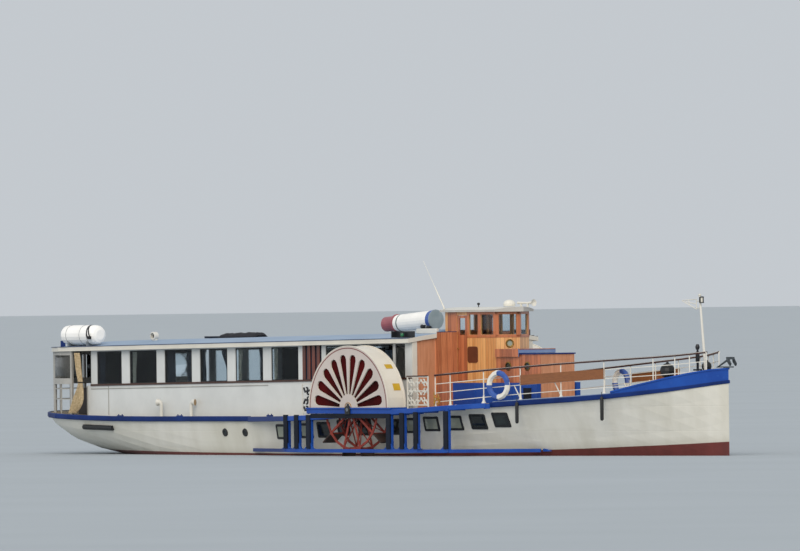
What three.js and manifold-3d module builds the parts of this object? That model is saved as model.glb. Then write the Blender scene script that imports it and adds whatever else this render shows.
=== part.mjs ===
// A small paddle steamer for river trips: wooden-decked hull with a counter stern, paddle wheels in
// half-drum boxes on side sponsons, a long glazed saloon, a wheelhouse with a V front and a low
// companion before it. Millimetres, +X to the bow, +Y to port, +Z up, z = 0 at the waterline.
import * as THREE from "three";
import { mergeVertices } from "three/addons/utils/BufferGeometryUtils.js";
import Module from "manifold-3d";

const wasm = await Module();
wasm.setup();

// Driving dimensions of the hull
const STEM_X = 12500;
const STERN_CENTRE_X = -10300;
const STERN_R = 2200;
const HALF_BEAM = 2300;
const BOW_FULLNESS = 2.75;
const DECK_T = 50;
const KEEL_Z = -750;
const GAP = 0.5;

// Rubbing strake height along the boat: x, z
const SHEER = [[-12500, 1040], [-9000, 920], [-5000, 910], [-1000, 935], [3000, 1075], [6000, 1250],
  [9000, 1410], [11000, 1570], [12500, 1760]];
// Bottom of the hull on the centreline: x, z
const BOTTOM = [[-12500, 1040], [-11700, 545], [-11100, 240], [-10500, 40], [-9500, -130], [-8000, -330],
  [-6000, -510], [-3000, -610], [8000, -620], [10500, -600], [11900, -520], [12500, -300]];
// Half a hull section: share of the half-beam, share of the depth, from keel to strake
const MID_FORM = [[0, 0], [0.45, 0.03], [0.74, 0.10], [0.86, 0.22], [0.905, 0.34], [0.93, 0.46],
  [0.955, 0.62], [0.978, 0.80], [1, 1]];
const BOW_FORM = [[0, 0], [0.16, 0.08], [0.30, 0.18], [0.42, 0.30], [0.52, 0.42], [0.62, 0.55],
  [0.73, 0.68], [0.86, 0.84], [1, 1]];
const STERN_FORM = [[0, 0], [0.30, 0.06], [0.52, 0.16], [0.68, 0.28], [0.79, 0.42], [0.87, 0.56],
  [0.93, 0.70], [0.97, 0.85], [1, 1]];
const BOW_FORM_FROM = 2000;
const BOW_FORM_TO = 11500;
const STERN_FORM_FROM = -5000;
const STERN_FORM_TO = -10000;

// Where the sponsons leave the hull and join it again
const SPONSON_AFT_X = -2900;
const SPONSON_FWD_X = 6000;
const BULWARK_X = 9540;

// Paddle wheels and their boxes
const WHEEL_X = 1650;
const WHEEL_Z = 1150;
const WHEEL_R = 1380;
const WHEEL_INNER_Y = 2380;
const WHEEL_OUTER_Y = 2800;
const WHEEL_ARMS = 10;
const SHAFT_R = 45;
const BOX_R = 1510;
const BOX_Z = 1200;
const BOX_INNER_Y = 2300;
const BOX_OUTER_Y = 2900;
const BOX_SLOTS = 10;

// Saloon
const WALL_Y = 1950;
const WALL_T = 45;
const SALOON_FRONT_X = 2980;
const SIDE_AFT_X = -9840;
const BAND_AFT_X = -9670;
const ROOF_HALF = 2080;
const ROOF_AFT_CENTRE_X = -10350;
const ROOF_FWD_X = 3010;
const ROOF_CAMBER = 170;
const ROOF_T = 40;
const SCREEN_R = 2035;

// Wheelhouse, companion and lockers
const HOUSE_AFT_X = 2600;
const HOUSE_CORNER_X = 4510;
const HOUSE_APEX_X = 4790;
const HOUSE_HALF = 540;
const HOUSE_TOP = 3519;
const HOUSE_FLOOR = 1780;
const COMPANION_FWD_X = 6200;
const COMPANION_TOP = 2470;
const COMPANION_HALF = 545;

// Life raft's canister: its middle and its size
const RAFT_X = -10220;
const RAFT_Y = -1760;
const RAFT_Z = 3030;
const RAFT_R = 250;
const RAFT_LENGTH = 1400;

// Funnel, lying aft on the saloon roof on its hinge
const FUNNEL_HINGE_X = 1630;
const FUNNEL_HINGE_Z = 3100;
const FUNNEL_R = 245;
const FUNNEL_LENGTH = 1920;
const FUNNEL_REST_DEG = 3.4;

// Rudder
const STOCK_X = -9700;
const STOCK_R = 35;

const COLOUR = { white: 0xcfcdc6, blue: 0x1e4a9e, boot: 0x6a2522, wood: 0xd9974a, redwood: 0xa0522d,
  panel: 0xb87a5a, roof: 0xa9bccb, rust: 0x8a3a28, black: 0x1a1b1d, cream: 0xefe6cb, deck: 0x9a8a70,
  canvas: 0xd2b27a, steel: 0x6a6f74, brown: 0x6b4326, grey: 0x8a9094 };

// Height of a table's curve at x, with tangents taken from the neighbouring rows
function fair(table, x) {
  const last = table.length - 1;
  if (x <= table[0][0]) return table[0][1];
  if (x >= table[last][0]) return table[last][1];
  let i = 0;
  while (x > table[i + 1][0]) i += 1;
  const slope = (k) => {
    const a = table[Math.max(0, k - 1)];
    const b = table[Math.min(last, k + 1)];
    return (b[1] - a[1]) / (b[0] - a[0]);
  };
  const [x0, z0] = table[i];
  const [x1, z1] = table[i + 1];
  const h = x1 - x0;
  const t = (x - x0) / h;
  const t2 = t * t;
  const t3 = t2 * t;
  return (2 * t3 - 3 * t2 + 1) * z0 + (t3 - 2 * t2 + t) * h * slope(i)
    + (3 * t2 - 2 * t3) * z1 + (t3 - t2) * h * slope(i + 1);
}

const smooth = (from, to, x) => {
  const t = Math.min(1, Math.max(0, (x - from) / (to - from)));
  return t * t * (3 - 2 * t);
};
const sheer = (x) => fair(SHEER, x);
const bottom = (x) => fair(BOTTOM, x);

function beam(x) {
  if (x < STERN_CENTRE_X) return Math.sqrt(Math.max(0, STERN_R ** 2 - (x - STERN_CENTRE_X) ** 2));
  if (x < 0) return STERN_R + (HALF_BEAM - STERN_R) * (x - STERN_CENTRE_X) / -STERN_CENTRE_X;
  return HALF_BEAM * (1 - (x / STEM_X) ** BOW_FULLNESS);
}

// Half-breadth and height of point j of the hull's section at x
function sectionPoint(x, j) {
  const bow = smooth(BOW_FORM_FROM, BOW_FORM_TO, x);
  const stern = smooth(STERN_FORM_FROM, STERN_FORM_TO, x);
  const mid = 1 - bow - stern;
  const share = (k) => mid * MID_FORM[j][k] + bow * BOW_FORM[j][k] + stern * STERN_FORM[j][k];
  return [beam(x) * share(0), bottom(x) + share(1) * (sheer(x) - bottom(x))];
}

// Half-breadth of the hull at a height, between the section's points
function hullHalf(x, z) {
  for (let j = 1; j < MID_FORM.length; j += 1) {
    const [y0, z0] = sectionPoint(x, j - 1);
    const [y1, z1] = sectionPoint(x, j);
    if (z <= z1) return y0 + (y1 - y0) * Math.max(0, z - z0) / (z1 - z0);
  }
  return beam(x);
}

// Stations from stern to stem: even angles round the stern, then chosen places
const STATIONS = [0, 12, 24, 36, 48, 60, 75, 90]
  .map((deg) => STERN_CENTRE_X - STERN_R * Math.cos(deg * Math.PI / 180))
  .concat([-9500, -8500, -7000, -5000, SPONSON_AFT_X, -1000, WHEEL_X, 4000, SPONSON_FWD_X, 7200, 8400,
    BULWARK_X, 10300, 11000, 11600, 12050, 12350, STEM_X]);

// Upper face of the deck, straight between the stations
function deckTop(x) {
  const i = Math.max(1, STATIONS.findIndex((s) => s >= x));
  const [a, b] = [STATIONS[i - 1], STATIONS[i]];
  return DECK_T + sheer(a) + (sheer(b) - sheer(a)) * (x - a) / (b - a);
}

// A closed solid from points and faces of 3 or 4 corners, with coinciding points merged
function solid(points, faces) {
  const raw = new THREE.BufferGeometry();
  raw.setAttribute("position", new THREE.Float32BufferAttribute(points.flat(), 3));
  const index = [];
  for (const f of faces) {
    for (let k = 2; k < f.length; k += 1) index.push(f[0], f[k - 1], f[k]);
  }
  raw.setIndex(index);
  const merged = mergeVertices(raw, 0.01);
  const kept = [];
  for (let i = 0; i < merged.index.count; i += 3) {
    const t = [0, 1, 2].map((k) => merged.index.getX(i + k));
    if (t[0] !== t[1] && t[1] !== t[2] && t[2] !== t[0]) kept.push(t);
  }
  const p = merged.attributes.position;
  const v = (i) => new THREE.Vector3().fromBufferAttribute(p, i);
  const volume = kept.reduce((sum, t) => sum + v(t[0]).dot(v(t[1]).cross(v(t[2]))), 0);
  merged.setIndex(kept.map((t) => (volume < 0 ? [t[0], t[2], t[1]] : t)).flat());
  return merged;
}

function toManifold(geometry) {
  const bare = geometry.clone();
  bare.deleteAttribute("normal");
  bare.deleteAttribute("uv");
  const g = mergeVertices(bare, 0.001);
  const mesh = new wasm.Mesh({ numProp: 3, vertProperties: new Float32Array(g.attributes.position.array),
    triVerts: new Uint32Array(g.index.array) });
  return new wasm.Manifold(mesh);
}

function fromManifold(man) {
  const mesh = man.getMesh();
  const g = new THREE.BufferGeometry();
  g.setAttribute("position", new THREE.Float32BufferAttribute(mesh.vertProperties, 3));
  g.setIndex(Array.from(mesh.triVerts));
  return g;
}

const join = (...pieces) => fromManifold(pieces.map(toManifold).reduce((a, b) => a.add(b)));
const cut = (piece, ...tools) => fromManifold(tools.map(toManifold).reduce((a, b) => a.subtract(b),
  toManifold(piece)));
const keep = (piece, tool) => fromManifold(toManifold(piece).intersect(toManifold(tool)));

function box(x0, x1, y0, y1, z0, z1) {
  const g = new THREE.BoxGeometry(Math.abs(x1 - x0), Math.abs(y1 - y0), Math.abs(z1 - z0));
  return g.translate((x0 + x1) / 2, (y0 + y1) / 2, (z0 + z1) / 2);
}

// A cylinder or cone from a to b
function rod(a, b, r0, r1 = r0, sides = 12) {
  const from = new THREE.Vector3(...a);
  const along = new THREE.Vector3(...b).sub(from);
  const g = new THREE.CylinderGeometry(r1, r0, along.length(), sides);
  const turn = new THREE.Quaternion().setFromUnitVectors(new THREE.Vector3(0, 1, 0),
    along.clone().normalize());
  return g.applyQuaternion(turn).translate(...from.addScaledVector(along, 0.5).toArray());
}

// A flat outline of [u, v] pairs, with holes, given thickness: plane "xz" goes from y0 to y1,
// "xy" from z0 to z1 and "yz" from x0 to x1
function prism(plane, outline, from, to, holes = []) {
  const path = (pts) => new THREE.Shape(pts.map(([u, v]) => new THREE.Vector2(u, v)));
  const shape = path(outline);
  shape.holes = holes.map(path);
  const g = new THREE.ExtrudeGeometry(shape, { depth: Math.abs(to - from), bevelEnabled: false });
  const low = Math.min(from, to);
  if (plane === "xy") return g.translate(0, 0, low);
  if (plane === "yz") {
    return g.applyMatrix4(new THREE.Matrix4().set(0, 0, 1, low, 1, 0, 0, 0, 0, 1, 0, 0, 0, 0, 0, 1));
  }
  return g.applyMatrix4(new THREE.Matrix4().set(1, 0, 0, 0, 0, 0, -1, low + Math.abs(to - from),
    0, 1, 0, 0, 0, 0, 0, 1));
}

// A section of [offset, height] pairs carried along a line in plan, mitred at its corners. The offset
// is to the right of the way the line runs, and sectionAt gives the section for each point.
function sweepPlan(line, closed, sectionAt) {
  const n = line.length;
  const p = line.map(([x, y]) => new THREE.Vector2(x, y));
  const right = (a, b) => {
    const d = b.clone().sub(a).normalize();
    return new THREE.Vector2(d.y, -d.x);
  };
  const points = [];
  const size = sectionAt(line[0], 0).length;
  for (let i = 0; i < n; i += 1) {
    const before = closed || i > 0 ? right(p[(i + n - 1) % n], p[i]) : null;
    const after = closed || i < n - 1 ? right(p[i], p[(i + 1) % n]) : null;
    const normal = before && after ? before.clone().add(after).normalize() : (before || after);
    const stretch = before && after ? 1 / Math.max(0.3, normal.dot(before)) : 1;
    for (const [offset, z] of sectionAt(line[i], i)) {
      points.push([p[i].x + normal.x * offset * stretch, p[i].y + normal.y * offset * stretch, z]);
    }
  }
  const faces = [];
  const runs = closed ? n : n - 1;
  for (let i = 0; i < runs; i += 1) {
    const a = i * size;
    const b = ((i + 1) % n) * size;
    for (let k = 0; k < size; k += 1) {
      const m = (k + 1) % size;
      faces.push([a + k, b + k, b + m, a + m]);
    }
  }
  if (!closed) {
    const cap = Array.from({ length: size }, (_, k) => k);
    faces.push(cap, cap.map((k) => (n - 1) * size + k).reverse());
  }
  return solid(points, faces);
}

const mirror = (line) => line.map(([x, y]) => [x, -y]);
const flip = (geometry) => {
  const g = geometry.clone().scale(1, -1, 1);
  const count = g.attributes.position.count;
  const index = g.index ? Array.from(g.index.array) : Array.from({ length: count }, (_, i) => i);
  for (let i = 0; i < index.length; i += 3) [index[i + 1], index[i + 2]] = [index[i + 2], index[i + 1]];
  g.setIndex(index);
  return g;
};

const boat = new THREE.Group();
function part(name, geometry, colour, roughness = 0.5, metalness = 0) {
  const material = new THREE.MeshStandardMaterial({ color: colour, roughness, metalness });
  const mesh = new THREE.Mesh(geometry, material);
  mesh.name = name;
  boat.add(mesh);
  return mesh;
}
const SIDES = [["starboard", (g) => g], ["port", flip]];
function pair(name, geometry, colour, roughness, metalness) {
  for (const [side, place] of SIDES) part(`${name}_${side}`, place(geometry), colour, roughness, metalness);
}

// Everything under the deck's upper face, to trim what stands on the deck
function underDeck(lift = GAP) {
  const top = STATIONS.map((x) => [x, sheer(x) + DECK_T + lift]);
  return prism("xz", [[STEM_X + 500, -3000], [STEM_X + 500, top.at(-1)[1]], ...top.reverse(),
    [-13000, top.at(-1)[1]], [-13000, -3000]].reverse(), -3500, 3500);
}

// Hull, keel and rudder trunk
{
  const points = [];
  const faces = [];
  const half = MID_FORM.length - 1;
  const size = 2 * half + 1;
  for (const x of STATIONS) {
    for (let k = -half; k <= half; k += 1) {
      const [y, z] = sectionPoint(x, Math.abs(k));
      points.push([x, Math.sign(k) * y, z]);
    }
  }
  for (let i = 0; i < STATIONS.length - 1; i += 1) {
    const a = i * size;
    const b = a + size;
    for (let k = 0; k < size - 1; k += 1) faces.push([a + k, a + k + 1, b + k + 1, b + k]);
    faces.push([a, b, b + size - 1, a + size - 1]);
  }
  const shell = solid(points, faces);
  const keel = prism("xz", [[-9600, -60], [-9600, KEEL_Z], [11300, KEEL_Z], [11850, -560],
    [11500, -450], [-6000, -400], [-8500, -150]], -50, 50);
  const sole = box(-9900, -9500, -45, 45, KEEL_Z - 50, KEEL_Z);
  const trunk = rod([STOCK_X, 0, -700], [STOCK_X, 0, 2000], 55, 55, 16);
  const heel = rod([STOCK_X, 0, KEEL_Z - 100], [STOCK_X, 0, KEEL_Z + 5], 26, 26, 16);
  const pit = box(700, 2600, -750, 750, -400, 2000);
  part("hull", cut(join(shell, keel, sole), trunk, heel, pit), COLOUR.white, 0.35);
}

// Rudder on its stock
{
  const stock = rod([STOCK_X, 0, -735], [STOCK_X, 0, 890], STOCK_R, STOCK_R, 16);
  const pintle = rod([STOCK_X, 0, -790], [STOCK_X, 0, -700], 20, 20, 16);
  const blade = prism("xz", [[STOCK_X + 40, -735], [STOCK_X + 40, -230], [-10250, -190], [-10560, -260],
    [-10600, -560], [-10450, -735]].reverse(), -25, 25);
  part("rudder", join(stock, pintle, blade), COLOUR.boot, 0.6);
}

// Deck planking on the hull, open over the engine
{
  const points = [];
  const faces = [];
  for (const x of STATIONS) {
    const y = Math.max(0, beam(x) - 1);
    for (const [side, lift] of [[-1, GAP], [1, GAP], [1, DECK_T], [-1, DECK_T]]) {
      points.push([x, side * y, sheer(x) + lift]);
    }
  }
  for (let i = 0; i < STATIONS.length - 1; i += 1) {
    const a = i * 4;
    for (let k = 0; k < 4; k += 1) faces.push([a + k, a + (k + 1) % 4, a + 4 + (k + 1) % 4, a + 4 + k]);
  }
  faces.push([0, 3, 2, 1]);
  const end = (STATIONS.length - 1) * 4;
  faces.push([end, end + 1, end + 2, end + 3]);
  part("deck", cut(solid(points, faces), box(700, 2600, -750, 750, 0, 2000)), COLOUR.deck, 0.8);
}

// Engine: one plain block in its pit, with the shaft's bearing through its top
part("engine_block", cut(box(760, 2540, -690, 690, -399.5, 1290),
  rod([WHEEL_X, -800, WHEEL_Z], [WHEEL_X, 800, WHEEL_Z], 51, 51, 20)), COLOUR.steel, 0.5, 0.6);

// Rubbing strakes, fore and aft of the sponsons
function strakeLine(chosen) {
  const starboard = STATIONS.filter(chosen).map((x) => [x, -beam(x)]);
  const port = mirror(starboard).reverse();
  const meetsAtStem = Math.abs(starboard.at(-1)[1]) < 1;
  return meetsAtStem ? starboard.concat(port.slice(1)) : starboard.concat(port);
}
// Section of the strake: offset outwards, height. Towards the stem it thins by these shares
const STRAKE = [[0.5, -65], [42, -65], [60, -42], [60, 42], [42, 65], [0.5, 65]];
const STEM_STRAKE = { offset: 0.35, depth: 0.25 };
function strakeAt(x, sign) {
  const t = smooth(8400, 12000, x);
  return STRAKE.map(([o, z]) => [sign * (o < 1 ? o : o * (1 - t + t * STEM_STRAKE.offset)),
    sheer(x) + (z > 0 ? z : z * (1 - t + t * STEM_STRAKE.depth))]);
}
{
  const fore = strakeLine((x) => x >= SPONSON_FWD_X);
  const aft = strakeLine((x) => x <= SPONSON_AFT_X);
  const aftLoop = STATIONS.filter((x) => x <= SPONSON_AFT_X).reverse().map((x) => [x, -beam(x)]);
  const aftLine = aftLoop.concat(mirror(aftLoop).reverse().slice(1));
  part("strake_fore", sweepPlan(fore, false, ([x]) => strakeAt(x, 1)), COLOUR.blue, 0.3);
  part("strake_aft", sweepPlan(aftLine, false, ([x]) => strakeAt(x, -1)), COLOUR.blue, 0.3);
}

// Bow bulwark, rising to the stem
const BULWARK_TOP = [[BULWARK_X, 1575], [10000, 1680], [10570, 1806], [11150, 1930], [12000, 2080],
  [STEM_X, 2120]];
{
  const line = strakeLine((x) => x >= BULWARK_X);
  part("bow_bulwark", sweepPlan(line, false, ([x]) => {
    const low = sheer(x) + DECK_T + 7;
    const top = fair(BULWARK_TOP, x);
    return [[-45, low], [0, low], [0, top - 40], [18, top - 40], [18, top], [-63, top], [-63, top - 40],
      [-45, top - 40]];
  }), COLOUR.blue, 0.3);
}

// Sponsons: outer guard line in plan, x, y
const GUARD = [[SPONSON_AFT_X, -2372], [-910, -2780], [-400, -2860], [110, -2900], [4210, -2900],
  [5140, -2710], [5700, -2380], [5975, -2145]];
const RAIL = [[-2900, -2215], [-910, -2780], [-400, -2860], [110, -2900], [4210, -2900], [5140, -2710],
  [6300, -1990], [7150, -1400]];
const POST_XS = [-910, -400, 110, 3190, 3700, 4210, 5140];
const RAIL_Z = 135;
const RAIL_DEEP = 84;
const PLINTH_LOW = 1055;
const BEAM_T = 80;
const guardY = (x) => {
  const i = GUARD.findIndex((g) => g[0] >= x);
  const [a, b] = [GUARD[Math.max(0, i - 1)], GUARD[Math.max(1, i)]];
  return a[1] + (b[1] - a[1]) * (x - a[0]) / (b[0] - a[0]);
};
{
  const guard = sweepPlan(GUARD, false, ([x]) => {
    const z = sheer(x);
    return [[-BEAM_T, z - 75], [-12, z - 75], [0, z - 60], [0, z + 38], [-12, z + DECK_T],
      [-BEAM_T, z + DECK_T]];
  });
  const [railLow, railTop] = [RAIL_Z - RAIL_DEEP / 2, RAIL_Z + RAIL_DEEP / 2];
  const lower = sweepPlan(RAIL, false, () => [[-70, railLow], [0, railLow], [0, railTop], [-70, railTop]]);
  const pieces = [guard, lower];
  for (const x of POST_XS) {
    const y = guardY(x);
    pieces.push(box(x - 70, x + 70, y, y + 100, RAIL_Z - 20, sheer(x) - 20));
    pieces.push(box(x - 40, x + 40, y + 20, -hullHalf(x, RAIL_Z) - 16, RAIL_Z - 25, RAIL_Z + 25));
    pieces.push(box(x - 40, x + 40, y + 20, -beam(x) - 8, sheer(x - 40) - 75, sheer(x - 40) - 5));
  }
  // The plinth under the paddle box, and the outer bearing of the shaft
  const z0 = deckTop(WHEEL_X + 1610) + 2;
  const outer = BOX_OUTER_Y;
  pieces.push(box(WHEEL_X - 1610, WHEEL_X + 1610, -outer, -outer + 70, PLINTH_LOW, BOX_Z - GAP));
  for (const s of [-1, 1]) {
    const x = WHEEL_X + s * 1575;
    pieces.push(box(x - 35, x + 35, -outer, -BOX_INNER_Y, z0, BOX_Z - GAP));
  }
  pieces.push(box(WHEEL_X - 1610, WHEEL_X + 1610, -BOX_INNER_Y - 35, -BOX_INNER_Y, z0, BOX_Z - GAP));
  pieces.push(rod([WHEEL_X, -2935, WHEEL_Z], [WHEEL_X, -2815, WHEEL_Z], 95, 95, 14));
  const bore = rod([WHEEL_X, -2950, WHEEL_Z], [WHEEL_X, -2800, WHEEL_Z], 52, 52, 14);
  const notch = rod([WHEEL_X, -2400, WHEEL_Z], [WHEEL_X, -2200, WHEEL_Z], 60, 60, 14);
  pair("sponson_frame", cut(join(...pieces), bore, notch), COLOUR.blue, 0.35);
}

// Wing decks on the sponsons, with the paddle slot and the ironwork panels at its two ends
{
  const xs = [SPONSON_AFT_X + 60, -1000, -910, -400, 110, WHEEL_X, 4000, 4210, 5140, 5620, 5790];
  const points = [];
  const faces = [];
  for (const x of xs) {
    const inner = -beam(x) - 4;
    const outer = Math.min(inner - 3, guardY(x) + BEAM_T * 1.35 + 4);
    for (const [y, lift] of [[outer, 2], [inner, 2], [inner, DECK_T], [outer, DECK_T]]) {
      points.push([x, y, sheer(x) + lift]);
    }
  }
  for (let i = 0; i < xs.length - 1; i += 1) {
    const a = i * 4;
    for (let k = 0; k < 4; k += 1) faces.push([a + k, a + (k + 1) % 4, a + 4 + (k + 1) % 4, a + 4 + k]);
  }
  const end = (xs.length - 1) * 4;
  faces.push([0, 3, 2, 1], [end, end + 1, end + 2, end + 3]);
  const slab = cut(solid(points, faces), box(WHEEL_X - 1450, WHEEL_X + 1450, -2900, -2360, 800, 1400));
  const pieces = [slab];
  const y = [-2372, -2350];
  for (const [x0, x1] of [[-780, 20], [3275, 4090]]) {
    const foot = sheer(x0) + 20;
    const top = sheer(x1) + DECK_T + 780;
    const low = sheer(x1) + DECK_T + 60;
    pieces.push(box(x0, x0 + 35, ...y, foot, top), box(x1 - 35, x1, ...y, foot, top));
    pieces.push(box(x0, x1, ...y, top - 30, top), box(x0, x1, ...y, low, low + 30));
    const mid = (x0 + x1) / 2;
    pieces.push(box(mid - 12, mid + 12, ...y, low, top));
    pieces.push(box(x0, x1, ...y, (low + top) / 2 - 12, (low + top) / 2 + 12));
  }
  pair("wing_deck", join(...pieces), COLOUR.white, 0.5);
}

// Paddle boxes: half drums with a slotted face
{
  const arc = (r, from = 0, to = 180, steps = 20) => Array.from({ length: steps + 1 }, (_, i) => {
    const a = (from + (to - from) * i / steps) * Math.PI / 180;
    return [WHEEL_X + r * Math.cos(a), BOX_Z + r * Math.sin(a)];
  });
  const rim = prism("xz", arc(BOX_R).concat(arc(BOX_R - 35).reverse()), -BOX_OUTER_Y, -BOX_INNER_Y);
  const face = prism("xz", arc(BOX_R - 5), -BOX_OUTER_Y, -BOX_OUTER_Y + 35);
  const back = prism("xz", arc(BOX_R - 5), -BOX_INNER_Y - 30, -BOX_INNER_Y);
  const slots = [];
  for (let i = 0; i < BOX_SLOTS; i += 1) {
    const a = (180 / BOX_SLOTS) * (i + 0.5) * Math.PI / 180;
    const at = (r, w) => [WHEEL_X + r * Math.cos(a) - w * Math.sin(a),
      BOX_Z + r * Math.sin(a) + w * Math.cos(a)];
    slots.push(prism("xz", [at(330, -38), at(1180, -126), at(1258, -104), at(1308, -52), at(1308, 52),
      at(1258, 104), at(1180, 126), at(330, 38)], -BOX_OUTER_Y - 10, -BOX_OUTER_Y + 45));
  }
  const hub = rod([WHEEL_X, -3000, WHEEL_Z], [WHEEL_X, -2600, WHEEL_Z], 110, 110, 14);
  const notch = rod([WHEEL_X, -2400, WHEEL_Z], [WHEEL_X, -2200, WHEEL_Z], 62, 62, 14);
  pair("paddle_box", cut(join(rim, face, back), ...slots, hub, notch), COLOUR.cream, 0.4);
}

// Paddle shaft and wheels, one turning body
part("paddle_shaft", rod([WHEEL_X, -2945, WHEEL_Z], [WHEEL_X, 2945, WHEEL_Z], SHAFT_R, SHAFT_R, 16),
  COLOUR.steel, 0.4, 0.7);
{
  const ring = (r0, r1, y0, y1) => {
    const circle = (r) => Array.from({ length: 20 }, (_, i) => [r * Math.cos(i * Math.PI / 10),
      r * Math.sin(i * Math.PI / 10)]);
    return prism("xz", circle(r1), y0, y1, [circle(r0)]);
  };
  const sides = [[-WHEEL_INNER_Y - 22, -WHEEL_INNER_Y], [-WHEEL_OUTER_Y, -WHEEL_OUTER_Y + 22]];
  const pieces = [rod([0, -WHEEL_OUTER_Y, 0], [0, -WHEEL_INNER_Y, 0], 130, 130, 10)];
  for (const [y0, y1] of sides) {
    pieces.push(ring(950, 1010, y0, y1));
    for (let i = 0; i < WHEEL_ARMS; i += 1) {
      const arm = box(90, 1040, y0 + 2, y1 - 2, -28, 28);
      pieces.push(arm.rotateY(i * 2 * Math.PI / WHEEL_ARMS));
    }
  }
  for (let i = 0; i < WHEEL_ARMS; i += 1) {
    const float = box(985, WHEEL_R, -WHEEL_OUTER_Y + 1, -WHEEL_INNER_Y - 1, -16, 16);
    pieces.push(float.rotateY(i * 2 * Math.PI / WHEEL_ARMS));
  }
  const bore = rod([0, -3000, 0], [0, -2000, 0], SHAFT_R + GAP, SHAFT_R + GAP, 16);
  const wheel = cut(join(...pieces), bore).translate(WHEEL_X, 0, WHEEL_Z);
  pair("paddle_wheel", wheel, COLOUR.rust, 0.7);
}

// Saloon: the lines of sill and roof rise a little towards the bow
const rise = (x) => 0.012 * (x + 10000);
const sill = (x) => 1740 + rise(x);
const roofEdge = (x) => 2710 + rise(x);
const HEADER_TOP = (x) => 2688 + rise(x);
const WINDOW_TOP = (x) => 2600 + rise(x);
// Window posts: centre x, width
const POSTS = [[-9550, 240], [-8270, 320], [-6860, 320], [-5450, 320], [-4040, 320], [-2630, 320],
  [-1320, 170], [-420, 160], [1000, 200], [2300, 90], [2850, 260]];
const PLANKED_BAY = 6;
{
  const foot = STATIONS.filter((x) => x > SIDE_AFT_X && x < SALOON_FRONT_X);
  const low = [SIDE_AFT_X, ...foot, SALOON_FRONT_X].map((x) => [x, deckTop(x) + GAP]);
  const outline = [...low, [SALOON_FRONT_X, sill(SALOON_FRONT_X)], [SIDE_AFT_X, sill(SIDE_AFT_X)]];
  const shaftHole = rod([WHEEL_X, -2200, WHEEL_Z], [WHEEL_X, -1500, WHEEL_Z], 62, 62, 20);
  pair("saloon_side", cut(prism("xz", outline, -WALL_Y, -WALL_Y + WALL_T), shaftHole), COLOUR.white, 0.4);

  const x0 = BAND_AFT_X;
  const x1 = SALOON_FRONT_X;
  const holes = [];
  for (let i = 0; i < POSTS.length - 1; i += 1) {
    if (i === PLANKED_BAY) continue;
    const a = POSTS[i][0] + POSTS[i][1] / 2;
    const b = POSTS[i + 1][0] - POSTS[i + 1][1] / 2;
    holes.push([[a, sill(a) + 30], [b, sill(b) + 30], [b, WINDOW_TOP(b)], [a, WINDOW_TOP(a)]]);
  }
  pair("window_posts", prism("xz", [[x0, sill(x0) + GAP], [x1, sill(x1) + GAP], [x1, HEADER_TOP(x1)],
    [x0, HEADER_TOP(x0)]], -WALL_Y, -WALL_Y + WALL_T, holes), COLOUR.white, 0.4);
}

// Saloon roof with its camber, round at the stern, and the board along its edge
const roofTop = (x, y) => {
  const dx = Math.min(0, x - ROOF_AFT_CENTRE_X);
  return roofEdge(x) + ROOF_CAMBER * Math.max(0, 1 - (dx * dx + y * y) / ROOF_HALF ** 2);
};
const HOUSE_CLEAR = box(HOUSE_AFT_X - 4, 6000, -HOUSE_HALF - 4, HOUSE_HALF + 4, 500, 4000);
{
  const xs = [0, 15, 30, 45, 60, 75, 90].map((d) => ROOF_AFT_CENTRE_X - ROOF_HALF * Math.cos(d * Math.PI / 180))
    .concat([-7000, -3500, 0, ROOF_FWD_X]);
  const across = [-1, -0.8, -0.55, -0.3, 0, 0.3, 0.55, 0.8, 1];
  const half = (x) => Math.sqrt(Math.max(0, ROOF_HALF ** 2 - Math.min(0, x - ROOF_AFT_CENTRE_X) ** 2));
  const points = [];
  for (const x of xs) {
    for (const v of across) points.push([x, v * half(x), roofTop(x, v * half(x))]);
    for (const v of across) points.push([x, v * half(x), roofTop(x, v * half(x)) - ROOF_T]);
  }
  const n = across.length;
  const faces = [];
  for (let i = 0; i < xs.length - 1; i += 1) {
    const a = i * 2 * n;
    const b = a + 2 * n;
    for (let k = 0; k < n - 1; k += 1) {
      faces.push([a + k, b + k, b + k + 1, a + k + 1]);
      faces.push([a + n + k, a + n + k + 1, b + n + k + 1, b + n + k]);
    }
    faces.push([a, a + n, b + n, b], [a + n - 1, b + n - 1, b + 2 * n - 1, a + 2 * n - 1]);
  }
  const end = (xs.length - 1) * 2 * n;
  for (let k = 0; k < n - 1; k += 1) {
    faces.push([end + k, end + n + k, end + n + k + 1, end + k + 1]);
    faces.push([k, k + 1, n + k + 1, n + k]);
  }
  part("saloon_roof", cut(solid(points, faces), HOUSE_CLEAR), COLOUR.roof, 0.5);

  const starboard = xs.slice().reverse().map((x) => [x, -half(x)]);
  const front = [0.8, 0.55, 0.3, 0, -0.3, -0.55, -0.8].map((v) => [ROOF_FWD_X, v * ROOF_HALF]);
  const loop = starboard.concat(mirror(starboard).reverse().slice(1), front);
  part("roof_fascia", cut(sweepPlan(loop, true, ([x, y]) => {
    const z = roofTop(x, y);
    return [[-28, z - 88], [-1, z - 88], [-1, z + 18], [-28, z + 18]];
  }), HOUSE_CLEAR), COLOUR.white, 0.4);
}

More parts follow.
